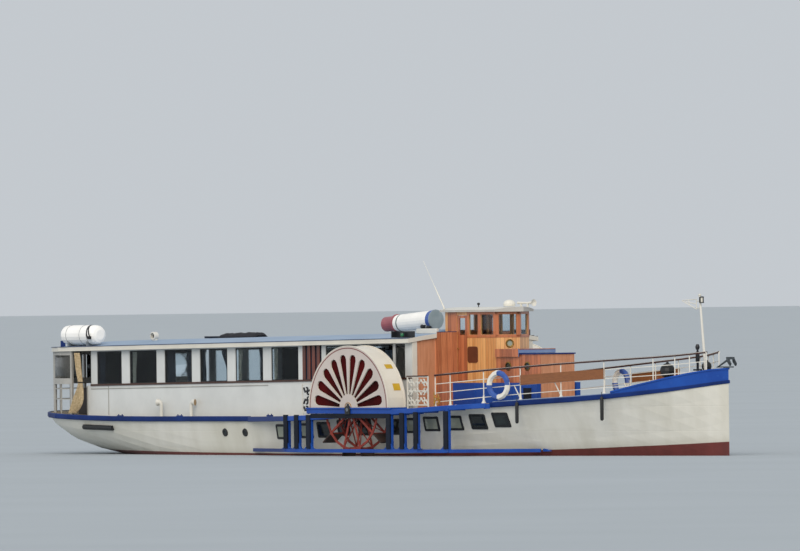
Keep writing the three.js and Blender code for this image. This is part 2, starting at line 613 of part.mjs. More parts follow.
// Front of the saloon, a panelled bulkhead each side of the wheelhouse. Planks stand before it beside
// the wheelhouse, and pass in front of the roof's edge
const PLANKS = { outer: -1190, top: 3030, under: 2875, front: SALOON_FRONT_X + 75 };
{
  const ys = [-WALL_Y + WALL_T + GAP, -1650, -1300, -900, -HOUSE_HALF - 5];
  const x = SALOON_FRONT_X - 25;
  const low = deckTop(SALOON_FRONT_X) + GAP;
  const underRoof = ys.slice().reverse().map((y) => [y, roofTop(x, y) - ROOF_T - 3]);
  const panel = prism("yz", [[ys[0], low], [ys.at(-1), low], ...underRoof], SALOON_FRONT_X - 50,
    SALOON_FRONT_X);
  const step = ROOF_FWD_X + 31;
  const planks = prism("xz", [[SALOON_FRONT_X - 5, low + 40], [PLANKS.front, low + 40],
    [PLANKS.front, PLANKS.top], [step, PLANKS.top], [step, PLANKS.under],
    [SALOON_FRONT_X - 5, PLANKS.under]], PLANKS.outer, -HOUSE_HALF - 5);
  pair("front_bulkhead", join(panel, planks), COLOUR.panel, 0.4);
}

// Stern screen: posts, beams, thin rails and balusters on the round of the stern
{
  const point = (deg, r = SCREEN_R) => [ROOF_AFT_CENTRE_X + r * Math.cos(deg * Math.PI / 180),
    r * Math.sin(deg * Math.PI / 180)];
  const line = Array.from({ length: 13 }, (_, i) => point(270 - 15 * i));
  const bar = (z0, z1, t) => sweepPlan(line, false, () => [[-t / 2, z0], [t / 2, z0], [t / 2, z1],
    [-t / 2, z1]]);
  const pieces = [bar(2515, 2630, 56), bar(1780, 1930, 56), bar(1650, 1675, 24), bar(1390, 1415, 24)];
  for (const deg of [270, 225, 180, 135, 90]) {
    const [x, y] = point(deg);
    pieces.push(box(x - 31, x + 31, y - 31, y + 31, 900, 2690));
  }
  for (let deg = 105; deg < 270; deg += 15) {
    if (deg % 45 === 0) continue;
    const [x, y] = point(deg);
    pieces.push(box(x - 14, x + 14, y - 14, y + 14, 900, 1800));
  }
  const clear = box(-13000, -9000, -3000, 3000, 2638, 3000);
  part("stern_screen", cut(join(...pieces), underDeck(), clear), COLOUR.white, 0.45);
}

// Canvas curtain gathered and tied at the boarding gap on the starboard quarter
part("canvas_curtain", prism("xz", [[-10080, 2580], [-10000, 1860], [-10420, 1040], [-9960, 1040],
  [-9860, 1860], [-9760, 2580]], -2200, -2140), COLOUR.canvas, 0.9);

// Wheelhouse walls with their windows and door openings, floor inside
const housePlan = (grow, top = 0) => [[HOUSE_AFT_X - grow, -HOUSE_HALF - grow],
  [HOUSE_CORNER_X + grow * 0.8, -HOUSE_HALF - grow], [HOUSE_APEX_X + grow * 1.13 + top, 0],
  [HOUSE_CORNER_X + grow * 0.8, HOUSE_HALF + grow], [HOUSE_AFT_X - grow, HOUSE_HALF + grow]];
const DOOR = { x0: 3060, x1: 3430, z0: 1820, z1: 3440 };
{
  const walls = prism("xy", housePlan(0), 1000, HOUSE_TOP, [housePlan(-45)]);
  const floor = prism("xy", housePlan(-20), HOUSE_FLOOR - 40, HOUSE_FLOOR);
  const openings = [];
  for (const s of [-1, 1]) {
    const y0 = s * HOUSE_HALF - 60;
    const y1 = s * HOUSE_HALF + 60;
    openings.push(box(DOOR.x0, DOOR.x1, y0, y1, DOOR.z0, DOOR.z1));
    for (const [x0, x1] of [[2760, 2960], [3510, 3840], [3950, 4420]]) {
      openings.push(box(x0, x1, y0, y1, 2960, 3460));
    }
    const front = box(0, 440, -80, 80, 2960, 3460);
    const angle = Math.atan2(s * HOUSE_HALF, HOUSE_CORNER_X - HOUSE_APEX_X);
    openings.push(front.translate(85, 0, 0).rotateZ(angle).translate(HOUSE_APEX_X, 0, 0));
  }
  openings.push(box(HOUSE_AFT_X - 60, HOUSE_AFT_X + 60, -380, 380, 3080, 3460));
  part("wheelhouse", cut(join(walls, floor), ...openings, underDeck()), COLOUR.wood, 0.35);

  const arch = [[-700, HOUSE_TOP + 1], [700, HOUSE_TOP + 1], [700, 3560]];
  for (const y of [560, 400, 200, 0, -200, -400, -560]) arch.push([y, 3640 - 80 * (y / 700) ** 2]);
  arch.push([-700, 3560]);
  part("wheelhouse_roof", keep(prism("yz", arch, 2400, 5200), prism("xy", housePlan(95, 40), 3000, 4000)),
    COLOUR.white, 0.4);
}

// Wheelhouse doors, hung on their forward edges
{
  const leaf = box(DOOR.x0 + 6, DOOR.x1 - 6, -HOUSE_HALF, -HOUSE_HALF + 38, DOOR.z0 + 6, DOOR.z1 - 6);
  const light = box(DOOR.x0 + 75, DOOR.x1 - 75, -700, -400, 2960, 3370);
  pair("wheelhouse_door", cut(leaf, light), COLOUR.redwood, 0.35);
}

// Helm on its column
{
  const hub = [4100, 0, 2620];
  const column = join(box(4150, 4260, -60, 60, HOUSE_FLOOR + GAP, 2720),
    rod([4145, 0, 2620], [4200, 0, 2620], 40, 40, 12));
  part("helm_column", column, COLOUR.brown, 0.4);
  const ring = new THREE.TorusGeometry(300, 20, 5, 14).rotateY(Math.PI / 2).translate(...hub);
  const pieces = [ring, rod([4075, 0, 2620], [4140, 0, 2620], 45, 45, 12)];
  for (let i = 0; i < 6; i += 1) {
    const a = i * Math.PI / 3;
    pieces.push(rod([4100, 0, 2620], [4100, 400 * Math.cos(a), 2620 + 400 * Math.sin(a)], 13, 13, 5));
  }
  part("helm_wheel", join(...pieces), COLOUR.redwood, 0.35);
}

// Companion before the wheelhouse, with its sliding hatch, and the low lockers along both sides
{
  const plan = (inset, aft = inset) => [[COMPANION_FWD_X - inset, -COMPANION_HALF + inset],
    [COMPANION_FWD_X - inset, COMPANION_HALF - inset], [HOUSE_CORNER_X + 14 + aft, COMPANION_HALF - inset],
    [HOUSE_APEX_X + 14 + aft, 0], [HOUSE_CORNER_X + 14 + aft, -COMPANION_HALF + inset]];
  const walls = prism("xy", plan(0), 1000, COMPANION_TOP, [plan(35, 60)]);
  const roof = prism("xy", plan(-25, 0), COMPANION_TOP - 1, COMPANION_TOP + 30);
  const way = box(4920, 5340, -360, 360, 2300, 2700);
  const lights = [];
  for (const x of [4980, 5700]) {
    for (const y of [-550, 550]) lights.push(rod([x, y - 150, 2180], [x, y + 150, 2180], 90, 90, 16));
  }
  part("companion", cut(join(walls, roof), way, ...lights, underDeck()), COLOUR.redwood, 0.35);

  const lid = [[5430, -605], [5430, 605], [HOUSE_CORNER_X + 30, 605], [HOUSE_APEX_X + 30, 0],
    [HOUSE_CORNER_X + 30, -605]];
  const z = COMPANION_TOP + 36;
  const skirt = (s) => box(4545, 5430, s * 580, s * 605, 2410, 2600);
  part("companion_hatch", join(prism("xy", lid, 2570, 2605), skirt(-1), skirt(1),
    box(5405, 5430, -605, 605, z, 2600)), COLOUR.redwood, 0.35);

  pair("side_locker", cut(box(PLANKS.front + GAP, 6230, -705, -575, 1000, 1775), underDeck()),
    COLOUR.blue, 0.4);
}

// Guard rails round the foredeck, with a blank name board each side
const RAIL_POSTS = [4060, 4580, 5700, 6870, 8090, 9310, 10610, 11160, 11520, 11930];
// Height of the top rail over the sheer: x, height
const RAIL_RISE = [[4060, 866], [5700, 880], [8090, 905], [9310, 900], [10610, 868], [11930, 830]];
{
  const railY = (x) => -(beam(x) - 75);
  const line = RAIL_POSTS.map((x) => [x, railY(x)]);
  const top = (x) => sheer(x) + fair(RAIL_RISE, x);
  const bar = (dz, w, h) => sweepPlan(line, false, ([x]) => [[-w, top(x) + dz - h], [w, top(x) + dz - h],
    [w, top(x) + dz], [-w, top(x) + dz]]);
  const pieces = [bar(0, 30, 36), bar(-225, 9, 18), bar(-445, 9, 18), bar(-665, 9, 18)];
  for (const x of RAIL_POSTS) pieces.push(rod([x, railY(x), sheer(x)], [x, railY(x), top(x) - 20], 17, 17, 4));
  const boardLine = [6910, 8090, 9330].map((x) => [x, railY(x)]);
  pieces.push(sweepPlan(boardLine, false, ([x]) => [[15, top(x) - 455], [38, top(x) - 455],
    [38, top(x) - 225], [15, top(x) - 225]]));
  const bulwarkZone = sweepPlan(strakeLine((x) => x >= BULWARK_X), false, ([x]) => {
    const low = sheer(x) - 100;
    return [[-67, low], [40, low], [40, fair(BULWARK_TOP, x) + 1], [-67, fair(BULWARK_TOP, x) + 1]];
  });
  pair("guard_rail", cut(join(...pieces), underDeck(), bulwarkZone), COLOUR.white, 0.4);
}

// Lifebuoys hung outside the rails
{
  const ring = new THREE.TorusGeometry(295, 72, 6, 18).rotateX(Math.PI / 2).rotateZ(0.15)
    .translate(6290, -(beam(6290) - 75) - 112, 1735);
  pair("lifebuoy", ring, COLOUR.white, 0.4);
}

// Life raft in its canister, on two saddles at the roof's edge
{
  const end = [[0, 0], [125, 0], [200, 32], [238, 95], [RAFT_R, 210], [RAFT_R, 560]];
  const profile = end.concat(end.slice().reverse().map(([r, z]) => [r, RAFT_LENGTH - z]));
  const canister = new THREE.LatheGeometry(profile.map(([r, z]) => new THREE.Vector2(r, z)), 18)
    .rotateZ(-Math.PI / 2).translate(RAFT_X - RAFT_LENGTH / 2, RAFT_Y, RAFT_Z);
  part("life_raft", canister, COLOUR.white, 0.35);
  const saddles = [-380, 380].map((dx) => box(RAFT_X + dx - 30, RAFT_X + dx + 30, RAFT_Y - 190, RAFT_Y + 210,
    2650, 2880));
  const runner = box(RAFT_X - 400, RAFT_X + 400, RAFT_Y + 120, RAFT_Y + 200, 2650, 2850);
  const drum = rod([RAFT_X - 900, RAFT_Y, RAFT_Z], [RAFT_X + 900, RAFT_Y, RAFT_Z], RAFT_R + 5, RAFT_R + 5, 18);
  const roofBlock = sweepRoof();
  part("raft_cradle", cut(join(...saddles, runner), drum, roofBlock), COLOUR.grey, 0.5);
}

// The space under the roof's upper face, to trim what stands on it
function sweepRoof() {
  const points = [];
  const xs = [-11600, -11000, ROOF_AFT_CENTRE_X, -9000, -6000, -3000, 0, 2000, ROOF_FWD_X];
  const ys = [-1975, -1700, -1300, -900, -450, 0, 450, 900, 1300, 1700, 1975];
  for (const x of xs) {
    for (const y of ys) points.push([x, y, roofTop(x, y) + 12]);
    for (const y of ys) points.push([x, y, 2000]);
  }
  const n = ys.length;
  const faces = [];
  for (let i = 0; i < xs.length - 1; i += 1) {
    const a = i * 2 * n;
    const b = a + 2 * n;
    for (let k = 0; k < n - 1; k += 1) {
      faces.push([a + k, b + k, b + k + 1, a + k + 1]);
      faces.push([a + n + k, a + n + k + 1, b + n + k + 1, b + n + k]);
    }
    faces.push([a, a + n, b + n, b], [a + n - 1, b + n - 1, b + 2 * n - 1, a + 2 * n - 1]);
  }
  const end = (xs.length - 1) * 2 * n;
  for (let k = 0; k < n - 1; k += 1) {
    faces.push([k, k + 1, n + k + 1, n + k]);
    faces.push([end + k, end + n + k, end + n + k + 1, end + k + 1]);
  }
  return solid(points, faces);
}

// A long bundle under a black cover, amidships on the roof
part("covered_bundle", cut(prism("xz", [[-7250, 2760], [-5250, 2760], [-5200, 3035], [-5330, 3078],
  [-5800, 3070], [-6650, 3050], [-6780, 2985], [-7200, 2968], [-7270, 2930]], -220, 220), sweepRoof()),
COLOUR.black, 0.7);

// Cowl ventilators on the side decks, mouths facing aft
for (const [place, x] of [["aft", -6690], ["fwd", -5490]]) {
  const y = -2110;
  const z = 1300;
  const shell = new THREE.SphereGeometry(92, 10, 6).translate(x, y, z);
  const hollow = new THREE.SphereGeometry(80, 10, 6).translate(x, y, z);
  const mouth = box(x - 200, x - 30, y - 150, y + 150, z - 150, z + 150);
  const neck = rod([x + 10, y, 800], [x + 10, y, z - 70], 45, 45, 8);
  pair(`cowl_vent_${place}`, cut(join(cut(shell, mouth), neck), hollow, underDeck()), COLOUR.white, 0.4);
}

// Funnel lowered aft on its hinge, and the coaming that it stands on when raised
{
  const steps = [[0, 0], [FUNNEL_R, 0], [FUNNEL_R, 30], [235, 34], [205, 1470], [225, 1478], [225, 1510],
    [188, 1518], [185, FUNNEL_LENGTH], [165, FUNNEL_LENGTH], [165, 60], [0, 60]];
  const profile = steps.map(([r, z]) => new THREE.Vector2(r, z));
  const tube = new THREE.LatheGeometry(profile, 20).rotateX(Math.PI / 2);
  const upright = tube.translate(FUNNEL_R, 0, 0);
  upright.rotateY(-(90 + FUNNEL_REST_DEG) * Math.PI / 180);
  upright.translate(FUNNEL_HINGE_X, 0, FUNNEL_HINGE_Z);
  part("funnel", upright, COLOUR.white, 0.35);
  const x = FUNNEL_HINGE_X + FUNNEL_R;
  const coaming = cut(rod([x, 0, 2700], [x, 0, FUNNEL_HINGE_Z - 8], 262, 262, 20),
    rod([x, 0, 2600], [x, 0, 3300], 205, 205, 20), sweepRoof());
  part("funnel_coaming", coaming, COLOUR.grey, 0.5);
}

// Sidelight screens on the roof's edge
{
  const y = -1880;
  const z = roofTop(2600, y) + 14;
  pair("light_screen", join(box(2270, 3000, y, y + 20, z, z + 160), box(2270, 3000, y - 130, y + 5, z, z + 18),
    box(2270, 2290, y - 130, y + 5, z, z + 160)), COLOUR.black, 0.5);
}

// Foremast with its lantern and an aft-pointing bracket, and the bitt post behind it
{
  const foot = [11700, 0, 1700];
  const top = [11480, 0, 3905];
  const mast = rod(foot, top, 38, 26, 12);
  const lamp = rod([11560, 0, 3665], [11560, 0, 3850], 55, 55, 12);
  const bracket = prism("xz", [[11510, 3575], [11500, 3755], [10830, 3760], [10830, 3735]], -12, 12);
  part("foremast", cut(join(mast, lamp, bracket), underDeck()), COLOUR.white, 0.4);
  part("bitt_post", cut(join(rod([11380, 0, 1500], [11380, 0, 2620], 55, 55, 12),
    rod([11380, 0, 2620], [11380, 0, 2700], 70, 60, 12), box(11360, 11400, -135, 135, 2050, 2090)),
  underDeck()), COLOUR.black, 0.5);
}

// On the wheelhouse roof: lamp dome, horn and whip aerial
{
  const dome = new THREE.LatheGeometry([[0, 0], [140, 0], [150, 30], [150, 70], [120, 125], [60, 155], [0, 165]]
    .map(([r, z]) => new THREE.Vector2(r, z)), 14).rotateX(Math.PI / 2)
    .translate(4480, -60, 3650);
  part("lamp_dome", dome, COLOUR.white, 0.3);
  const horn = new THREE.LatheGeometry([[0, 0], [35, 0], [30, 60], [22, 350], [40, 520], [90, 600], [0, 560]]
    .map(([r, z]) => new THREE.Vector2(r, z)), 12).rotateZ(-Math.PI / 2).translate(4350, 330, 3730);
  part("horn", join(horn, box(4450, 4490, 310, 350, 3630, 3725), box(4700, 4740, 310, 350, 3630, 3725)),
    COLOUR.white, 0.3);
  part("whip_aerial", join(rod([2580, -560, 3600], [2580, -560, 3640], 25, 25, 8),
    rod([2580, -560, 3630], [1810, -560, 4790], 9, 5, 6)), COLOUR.white, 0.4);
}

// Anchor over the stem
{
  const roller = box(12150, 12640, -50, 50, 2122, 2150);
  const shank = prism("xz", [[12060, 2125], [12110, 2122], [12590, 2330], [12570, 2376]], -14, 14);
  const crown = box(12540, 12600, -110, 110, 2318, 2378);
  const fluke = prism("xz", [[12560, 2340], [12600, 2345], [12690, 2215], [12660, 2160], [12570, 2260]],
    -22, 22);
  part("anchor", join(roller, shank, crown, fluke.clone().translate(0, 88, 0),
    fluke.clone().translate(0, -88, 0)), COLOUR.grey, 0.5, 0.5);
}

// Round fenders inside the bow bulwark
for (const [side, x, y, z, r] of [["starboard", 10820, -480, 2055, 185], ["port", 11400, 270, 2150, 125]]) {
  part(`ball_fender_${side}`, new THREE.SphereGeometry(r, 12, 8).rotateX(Math.PI / 2).translate(x, y, z),
    COLOUR.black, 0.6);
}

export default boat;
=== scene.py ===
import math
import bpy
import bmesh
from mathutils import Matrix, Vector


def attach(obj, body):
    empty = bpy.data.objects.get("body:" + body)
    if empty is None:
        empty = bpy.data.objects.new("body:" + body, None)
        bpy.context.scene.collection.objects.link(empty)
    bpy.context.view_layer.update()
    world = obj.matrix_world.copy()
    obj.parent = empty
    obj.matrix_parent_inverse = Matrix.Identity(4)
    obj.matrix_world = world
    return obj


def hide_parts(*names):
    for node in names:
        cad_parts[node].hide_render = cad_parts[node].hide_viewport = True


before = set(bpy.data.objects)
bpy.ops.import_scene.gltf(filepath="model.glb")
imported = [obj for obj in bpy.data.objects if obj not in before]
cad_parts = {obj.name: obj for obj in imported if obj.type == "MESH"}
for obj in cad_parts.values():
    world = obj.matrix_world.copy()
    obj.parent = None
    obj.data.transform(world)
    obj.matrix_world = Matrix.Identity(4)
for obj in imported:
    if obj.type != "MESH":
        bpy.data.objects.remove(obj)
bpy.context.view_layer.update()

# The studio: the camera stands far off the starboard bow, some four metres above the water,
# and is turned a little clockwise as the picture is. The pale floor lies at the waterline.
AZIMUTH = math.radians(50)
DISTANCE = 300.0
EYE_HEIGHT = 4.1
LENS_MM = 542.7
ROLL = math.radians(-0.66)
right = Vector((math.cos(AZIMUTH), math.sin(AZIMUTH), 0))
eye = Vector((DISTANCE * math.sin(AZIMUTH), -DISTANCE * math.cos(AZIMUTH), EYE_HEIGHT))
aim = right * 0.155 + Vector((0, 0, 4.441))
camera_data = bpy.data.cameras.new("camera")
camera_data.lens = LENS_MM
camera_data.sensor_width = 36
camera_data.clip_start = 10
camera_data.clip_end = 3000
camera = bpy.data.objects.new("camera", camera_data)
bpy.context.scene.collection.objects.link(camera)
look = (aim - eye).to_track_quat("-Z", "Y").to_matrix().to_4x4()
camera.matrix_world = Matrix.Translation(eye) @ look @ Matrix.Rotation(ROLL, 4, "Z")
bpy.context.scene.camera = camera


# sRGB hex to the linear colour that a shader takes
def paint(code):
    parts = [int(code[i:i + 2], 16) / 255 for i in (0, 2, 4)]
    linear = [c / 12.92 if c <= 0.04045 else ((c + 0.055) / 1.055) ** 2.4 for c in parts]
    return (*linear, 1.0)


# Adds one shader node: sets are its properties, the rest its inputs by name, or i0, i1 by place
def node(tree, kind, sets=None, **inputs):
    new = tree.nodes.new("ShaderNode" + kind)
    for key, value in (sets or {}).items():
        setattr(new, key, value)
    for key, value in inputs.items():
        place = key[1:]
        socket = new.inputs[int(place)] if place.isdigit() else new.inputs[key.replace("_", " ")]
        if isinstance(value, bpy.types.NodeSocket):
            tree.links.new(value, socket)
        else:
            socket.default_value = value
    return new


# A new material with its shader; the pattern's coordinates are the boat's own, in metres
def surface(name, roughness, metallic=0.0):
    material = bpy.data.materials.new(name)
    material.use_nodes = True
    tree = material.node_tree
    tree.nodes.clear()
    shader = node(tree, "BsdfPrincipled", Roughness=roughness, Metallic=metallic)
    node(tree, "OutputMaterial", Surface=shader.outputs["BSDF"])
    place = node(tree, "TexCoord").outputs["Object"]
    return material, tree, shader, place


# The three patterns that the finishes are made of: noise, sums and mixed colours
def noise(tree, place, scale, detail, roughness=0.5):
    made = node(tree, "TexNoise", Vector=place, Scale=scale, Detail=detail, Roughness=roughness)
    return made.outputs["Fac"]


def maths(tree, operation, *values):
    inputs = {f"i{k}": value for k, value in enumerate(values)}
    return node(tree, "Math", {"operation": operation}, **inputs).outputs[0]


def blend(tree, share, first, second):
    return node(tree, "Mix", {"data_type": "RGBA"}, i0=share, i6=first, i7=second).outputs[2]


# Sets the two end colours of a ramp, and where they lie
def ramp(tree, value, low, high, start=0.0, end=1.0):
    made = node(tree, "ValToRGB", i0=value)
    first, last = made.color_ramp.elements
    first.position, last.position = start, end
    first.color, last.color = paint(low), paint(high)
    return made.outputs["Color"]


# Such a ramp as a shader's colour, and a height as its relief
def stain(tree, shader, value, low, high, start=0.0, end=1.0):
    tree.links.new(ramp(tree, value, low, high, start, end), shader.inputs["Base Color"])


def relief(tree, shader, height, strength, distance):
    bump = node(tree, "Bump", Strength=strength, Distance=distance, Height=height)
    tree.links.new(bump.outputs["Normal"], shader.inputs["Normal"])


# Matt grey-white studio floor, with a faint mottle so that it does not look like paper
studio_floor, tree, shader, place = surface("studio_floor", 0.8)
mottle = noise(tree, place, 0.15, 3.0)
stain(tree, shader, mottle, "A2AAB0", "ACB4BA")
floor_mesh = bpy.data.meshes.new("studio_floor")
REACH = 1500.0
floor_mesh.from_pydata([(-REACH, -REACH, 0), (REACH, -REACH, 0), (REACH, REACH, 0), (-REACH, REACH, 0)],
                       [], [(0, 1, 2, 3)])
floor_mesh.materials.append(studio_floor)
studio = bpy.data.objects.new("studio_floor", floor_mesh)
bpy.context.scene.collection.objects.link(studio)

world = bpy.data.worlds.new("studio_light")
world.use_nodes = True
world.node_tree.nodes["Background"].inputs["Color"].default_value = paint("E0E6EC")
world.node_tree.nodes["Background"].inputs["Strength"].default_value = 0.74
bpy.context.scene.world = world
bpy.context.scene.view_settings.view_transform = "Standard"

# Two broad soft lights: the key high over the camera's shoulder, the other weak, off the quarter
LIGHTS = (("key", (-0.62, 0.62, -0.62), 50, 2.0, "FFF6EA"), ("fill", (0.8, 0.5, -0.35), 70, 0.35, "E8EEF4"))
for name, toward, spread, power, tint in LIGHTS:
    light = bpy.data.lights.new(name, "SUN")
    light.color = paint(tint)[:3]
    light.angle = math.radians(spread)
    light.energy = power
    lamp = bpy.data.objects.new(name, light)
    lamp.rotation_euler = Vector(toward).to_track_quat("-Z", "Y").to_euler()
    bpy.context.scene.collection.objects.link(lamp)


# Hull of riveted iron plates under many coats of white brushing enamel, with dark red antifouling
# up to a line that climbs to the bow. Weather leaves faint streaks and a band of scum at the water.
def finish_node(material, *names):
    """Gives CAD nodes one material on all their faces."""
    for name in names:
        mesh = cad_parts[name].data
        mesh.materials.clear()
        mesh.materials.append(material)


BOTH = (("starboard", -1), ("port", 1))
# Height of the red paint's upper edge: share of the length from the stern, metres above the water
BOOT_TOP = ((0.0, 0.13), (0.12, 0.10), (0.35, 0.05), (0.55, 0.04), (0.72, 0.10), (0.88, 0.21), (1.0, 0.33))
hull_enamel, tree, shader, place = surface("white_enamel_on_iron_plates", 0.34)
split = node(tree, "SeparateXYZ", Vector=place)
along, up = split.outputs["X"], split.outputs["Z"]
share = node(tree, "MapRange", i0=along, i1=-12.5, i2=12.5)
curve = node(tree, "FloatCurve", i0=1.0, i1=share.outputs["Result"])
line = curve.mapping.curves[0]
line.points[0].location = BOOT_TOP[0]
line.points[1].location = BOOT_TOP[-1]
for spot in BOOT_TOP[1:-1]:
    line.points.new(*spot)
curve.mapping.update()
ragged = noise(tree, place, 3.0, 3.0)
edge = maths(tree, "MULTIPLY_ADD", ragged, 0.012, curve.outputs[0])
over = maths(tree, "SUBTRACT", up, edge)
is_white = node(tree, "MapRange", i0=over, i1=0.0, i2=0.006)
streaky = node(tree, "Mapping", Vector=place, Scale=(2.2, 2.2, 0.5))
streak = noise(tree, streaky.outputs["Vector"], 1.0, 5.0, 0.55)
white = ramp(tree, streak, "D2CFC4", "E2E0D8", 0.2, 0.6)
cloud = noise(tree, place, 0.35, 3.0)
dull = ramp(tree, cloud, "EDECE6", "FFFFFF", 0.3, 0.7)
shaded = node(tree, "Mix", {"data_type": "RGBA", "blend_type": "MULTIPLY"}, i0=1.0, i6=white, i7=dull)
scum = node(tree, "MapRange", i0=over, i1=0.0, i2=0.20, i3=0.35, i4=0.0)
scummed = blend(tree, scum.outputs["Result"], shaded.outputs[2], paint("A39D8C"))
red = ramp(tree, streak, "4A1C18", "7A3630")
both = blend(tree, is_white.outputs["Result"], red, scummed)
tree.links.new(both, shader.inputs["Base Color"])
# Plate laps each 0.6 m up and butts each 3 m along, drawn 12 mm wide so that they show
laps = maths(tree, "PINGPONG", up, 0.30)
butts = maths(tree, "PINGPONG", along, 1.5)
lap_line = node(tree, "MapRange", i0=laps, i1=0.0, i2=0.012)
butt_line = node(tree, "MapRange", i0=butts, i1=0.0, i2=0.012)
seams = maths(tree, "MULTIPLY", lap_line.outputs["Result"], butt_line.outputs["Result"])
dents = noise(tree, place, 1.3, 2.0)
height = maths(tree, "MULTIPLY_ADD", dents, 1.6, seams)
relief(tree, shader, height, 0.35, 0.006)
finish_node(hull_enamel, "hull")


# Solids are gathered as [points, faces] pairs, and a piece is made of all of them together
def block(stock, x0, x1, y0, y1, z0, z1):
    points = [(x, y, z) for x in (x0, x1) for y in (y0, y1) for z in (z0, z1)]
    faces = [(0, 1, 3, 2), (4, 6, 7, 5), (0, 4, 5, 1), (2, 3, 7, 6), (0, 2, 6, 4), (1, 5, 7, 3)]
    stock.append((points, faces))


# Faces from each ring of points to the next; closed carries on from the last ring to the first
def ring_faces(rings, around, closed=False):
    faces = []
    for i in range(rings if closed else rings - 1):
        a, b = i * around, (i + 1) % rings * around
        faces += [(a + k, a + (k + 1) % around, b + (k + 1) % around, b + k) for k in range(around)]
    return faces


# A round bar along a line of points
def pipe(stock, line, radius, sides=8, closed=False):
    line = [Vector(p) for p in line]
    count = len(line)
    points = []
    cross = None
    for i, spot in enumerate(line):
        before = line[(i - 1) % count] if closed or i else spot
        after = line[(i + 1) % count] if closed or i < count - 1 else spot
        along = (after - before).normalized()
        if cross is None:
            cross = along.orthogonal().normalized()
        cross = (cross - along * cross.dot(along)).normalized()
        other = along.cross(cross)
        r = radius[i] if isinstance(radius, (list, tuple)) else radius
        for k in range(sides):
            a = 2 * math.pi * k / sides
            points.append(spot + (cross * math.cos(a) + other * math.sin(a)) * r)
    faces = ring_faces(count, sides, closed)
    if not closed:
        faces += [tuple(range(sides))[::-1], tuple((count - 1) * sides + k for k in range(sides))]
    stock.append((points, faces))


# A turned form: rows of (radius, distance along the axis) from base
def turned(stock, rows, base, axis, sides=24):
    base, axis = Vector(base), Vector(axis).normalized()
    cross = axis.orthogonal().normalized()
    other = axis.cross(cross)
    points = []
    for r, d in rows:
        for k in range(sides):
            a = 2 * math.pi * k / sides
            points.append(base + axis * d + (cross * math.cos(a) + other * math.sin(a)) * max(r, 1e-4))
    faces = ring_faces(len(rows), sides)
    faces += [tuple(range(sides))[::-1], tuple((len(rows) - 1) * sides + k for k in range(sides))]
    stock.append((points, faces))


# A form between equal rings of points, given one after another, closed at both ends
def loft(stock, points, around):
    rings = len(points) // around
    ends = tuple(range(around))
    faces = ring_faces(rings, around)
    faces += [ends, tuple((rings - 1) * around + k for k in ends[::-1])]
    stock.append((points, faces))


# A board of any outline, given thickness along a way
def board(stock, outline, way):
    way = Vector(way)
    count = len(outline)
    points = [Vector(p) for p in outline] + [Vector(p) + way for p in outline]
    faces = [tuple(range(count))[::-1], tuple(range(count, 2 * count))]
    faces += [(k, (k + 1) % count, count + (k + 1) % count, count + k) for k in range(count)]
    stock.append((points, faces))


# Turns gathered solids into one smooth-shaded piece that rides on a body
def piece(name, stock, material, body="boat", bevel=0.0, crease=35):
    mesh = bpy.data.meshes.new(name)
    points, faces = [], []
    for some, sides in stock:
        faces += [tuple(len(points) + i for i in face) for face in sides]
        points += [tuple(p) for p in some]
    mesh.from_pydata(points, [], faces)
    shape = bmesh.new()
    shape.from_mesh(mesh)
    bmesh.ops.recalc_face_normals(shape, faces=shape.faces)
    shape.to_mesh(mesh)
    shape.free()
    mesh.shade_smooth()
    mesh.set_sharp_from_angle(angle=math.radians(crease))
    mesh.materials.append(material)
    made = bpy.data.objects.new(name, mesh)
    bpy.context.scene.collection.objects.link(made)
    if bevel:
        edge = made.modifiers.new("rounded_edges", "BEVEL")
        edge.width = bevel
        edge.segments = 2
        edge.limit_method = "ANGLE"
        edge.angle_limit = math.radians(40)
    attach(made, body)
    return made


CLEAR_OF_BOAT = 9


# Point and outward direction where a level line from outboard meets a CAD node
def on_side(name, x, z, side):
    start = Vector((x, side * CLEAR_OF_BOAT, z))
    _, spot, out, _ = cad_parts[name].ray_cast(start, Vector((0, -side, 0)))
    return spot, out


# Hull windows and portholes in moulded black rubber frames, bedded on the plating. The glass is painted dark
# for the shade of the unlit cabin behind it, or pale with bands as a painted reflection.
rubber_black, tree, shader, place = surface("moulded_epdm_rubber", 0.55)
specks = noise(tree, place, 60.0, 4.0)
stain(tree, shader, specks, "121315", "232528", 0.3, 0.7)
relief(tree, shader, specks, 0.25, 0.001)

cabin_glass, tree, shader, place = surface("dark_cabin_glass", 0.06)
dust = noise(tree, place, 2.5, 4.0)
stain(tree, shader, dust, "171C1E", "2C3434", 0.35, 0.7)
smear = node(tree, "MapRange", i0=dust, i3=0.04, i4=0.14)
tree.links.new(smear.outputs["Result"], shader.inputs["Roughness"])
shader.inputs["IOR"].default_value = 1.5

# Pale glass whose light banded tone is a painted reflection
pale_glass_painted_reflection, tree, shader, place = surface("pale_glass_with_painted_reflection", 0.08)
reflection_bands = node(tree, "TexWave", {"bands_direction": "Z"}, Vector=place, Scale=16.0, Distortion=0.6)
stain(tree, shader, reflection_bands.outputs["Color"], "8A9080", "A6AA98")
shader.inputs["Coat Weight"].default_value = 0.5
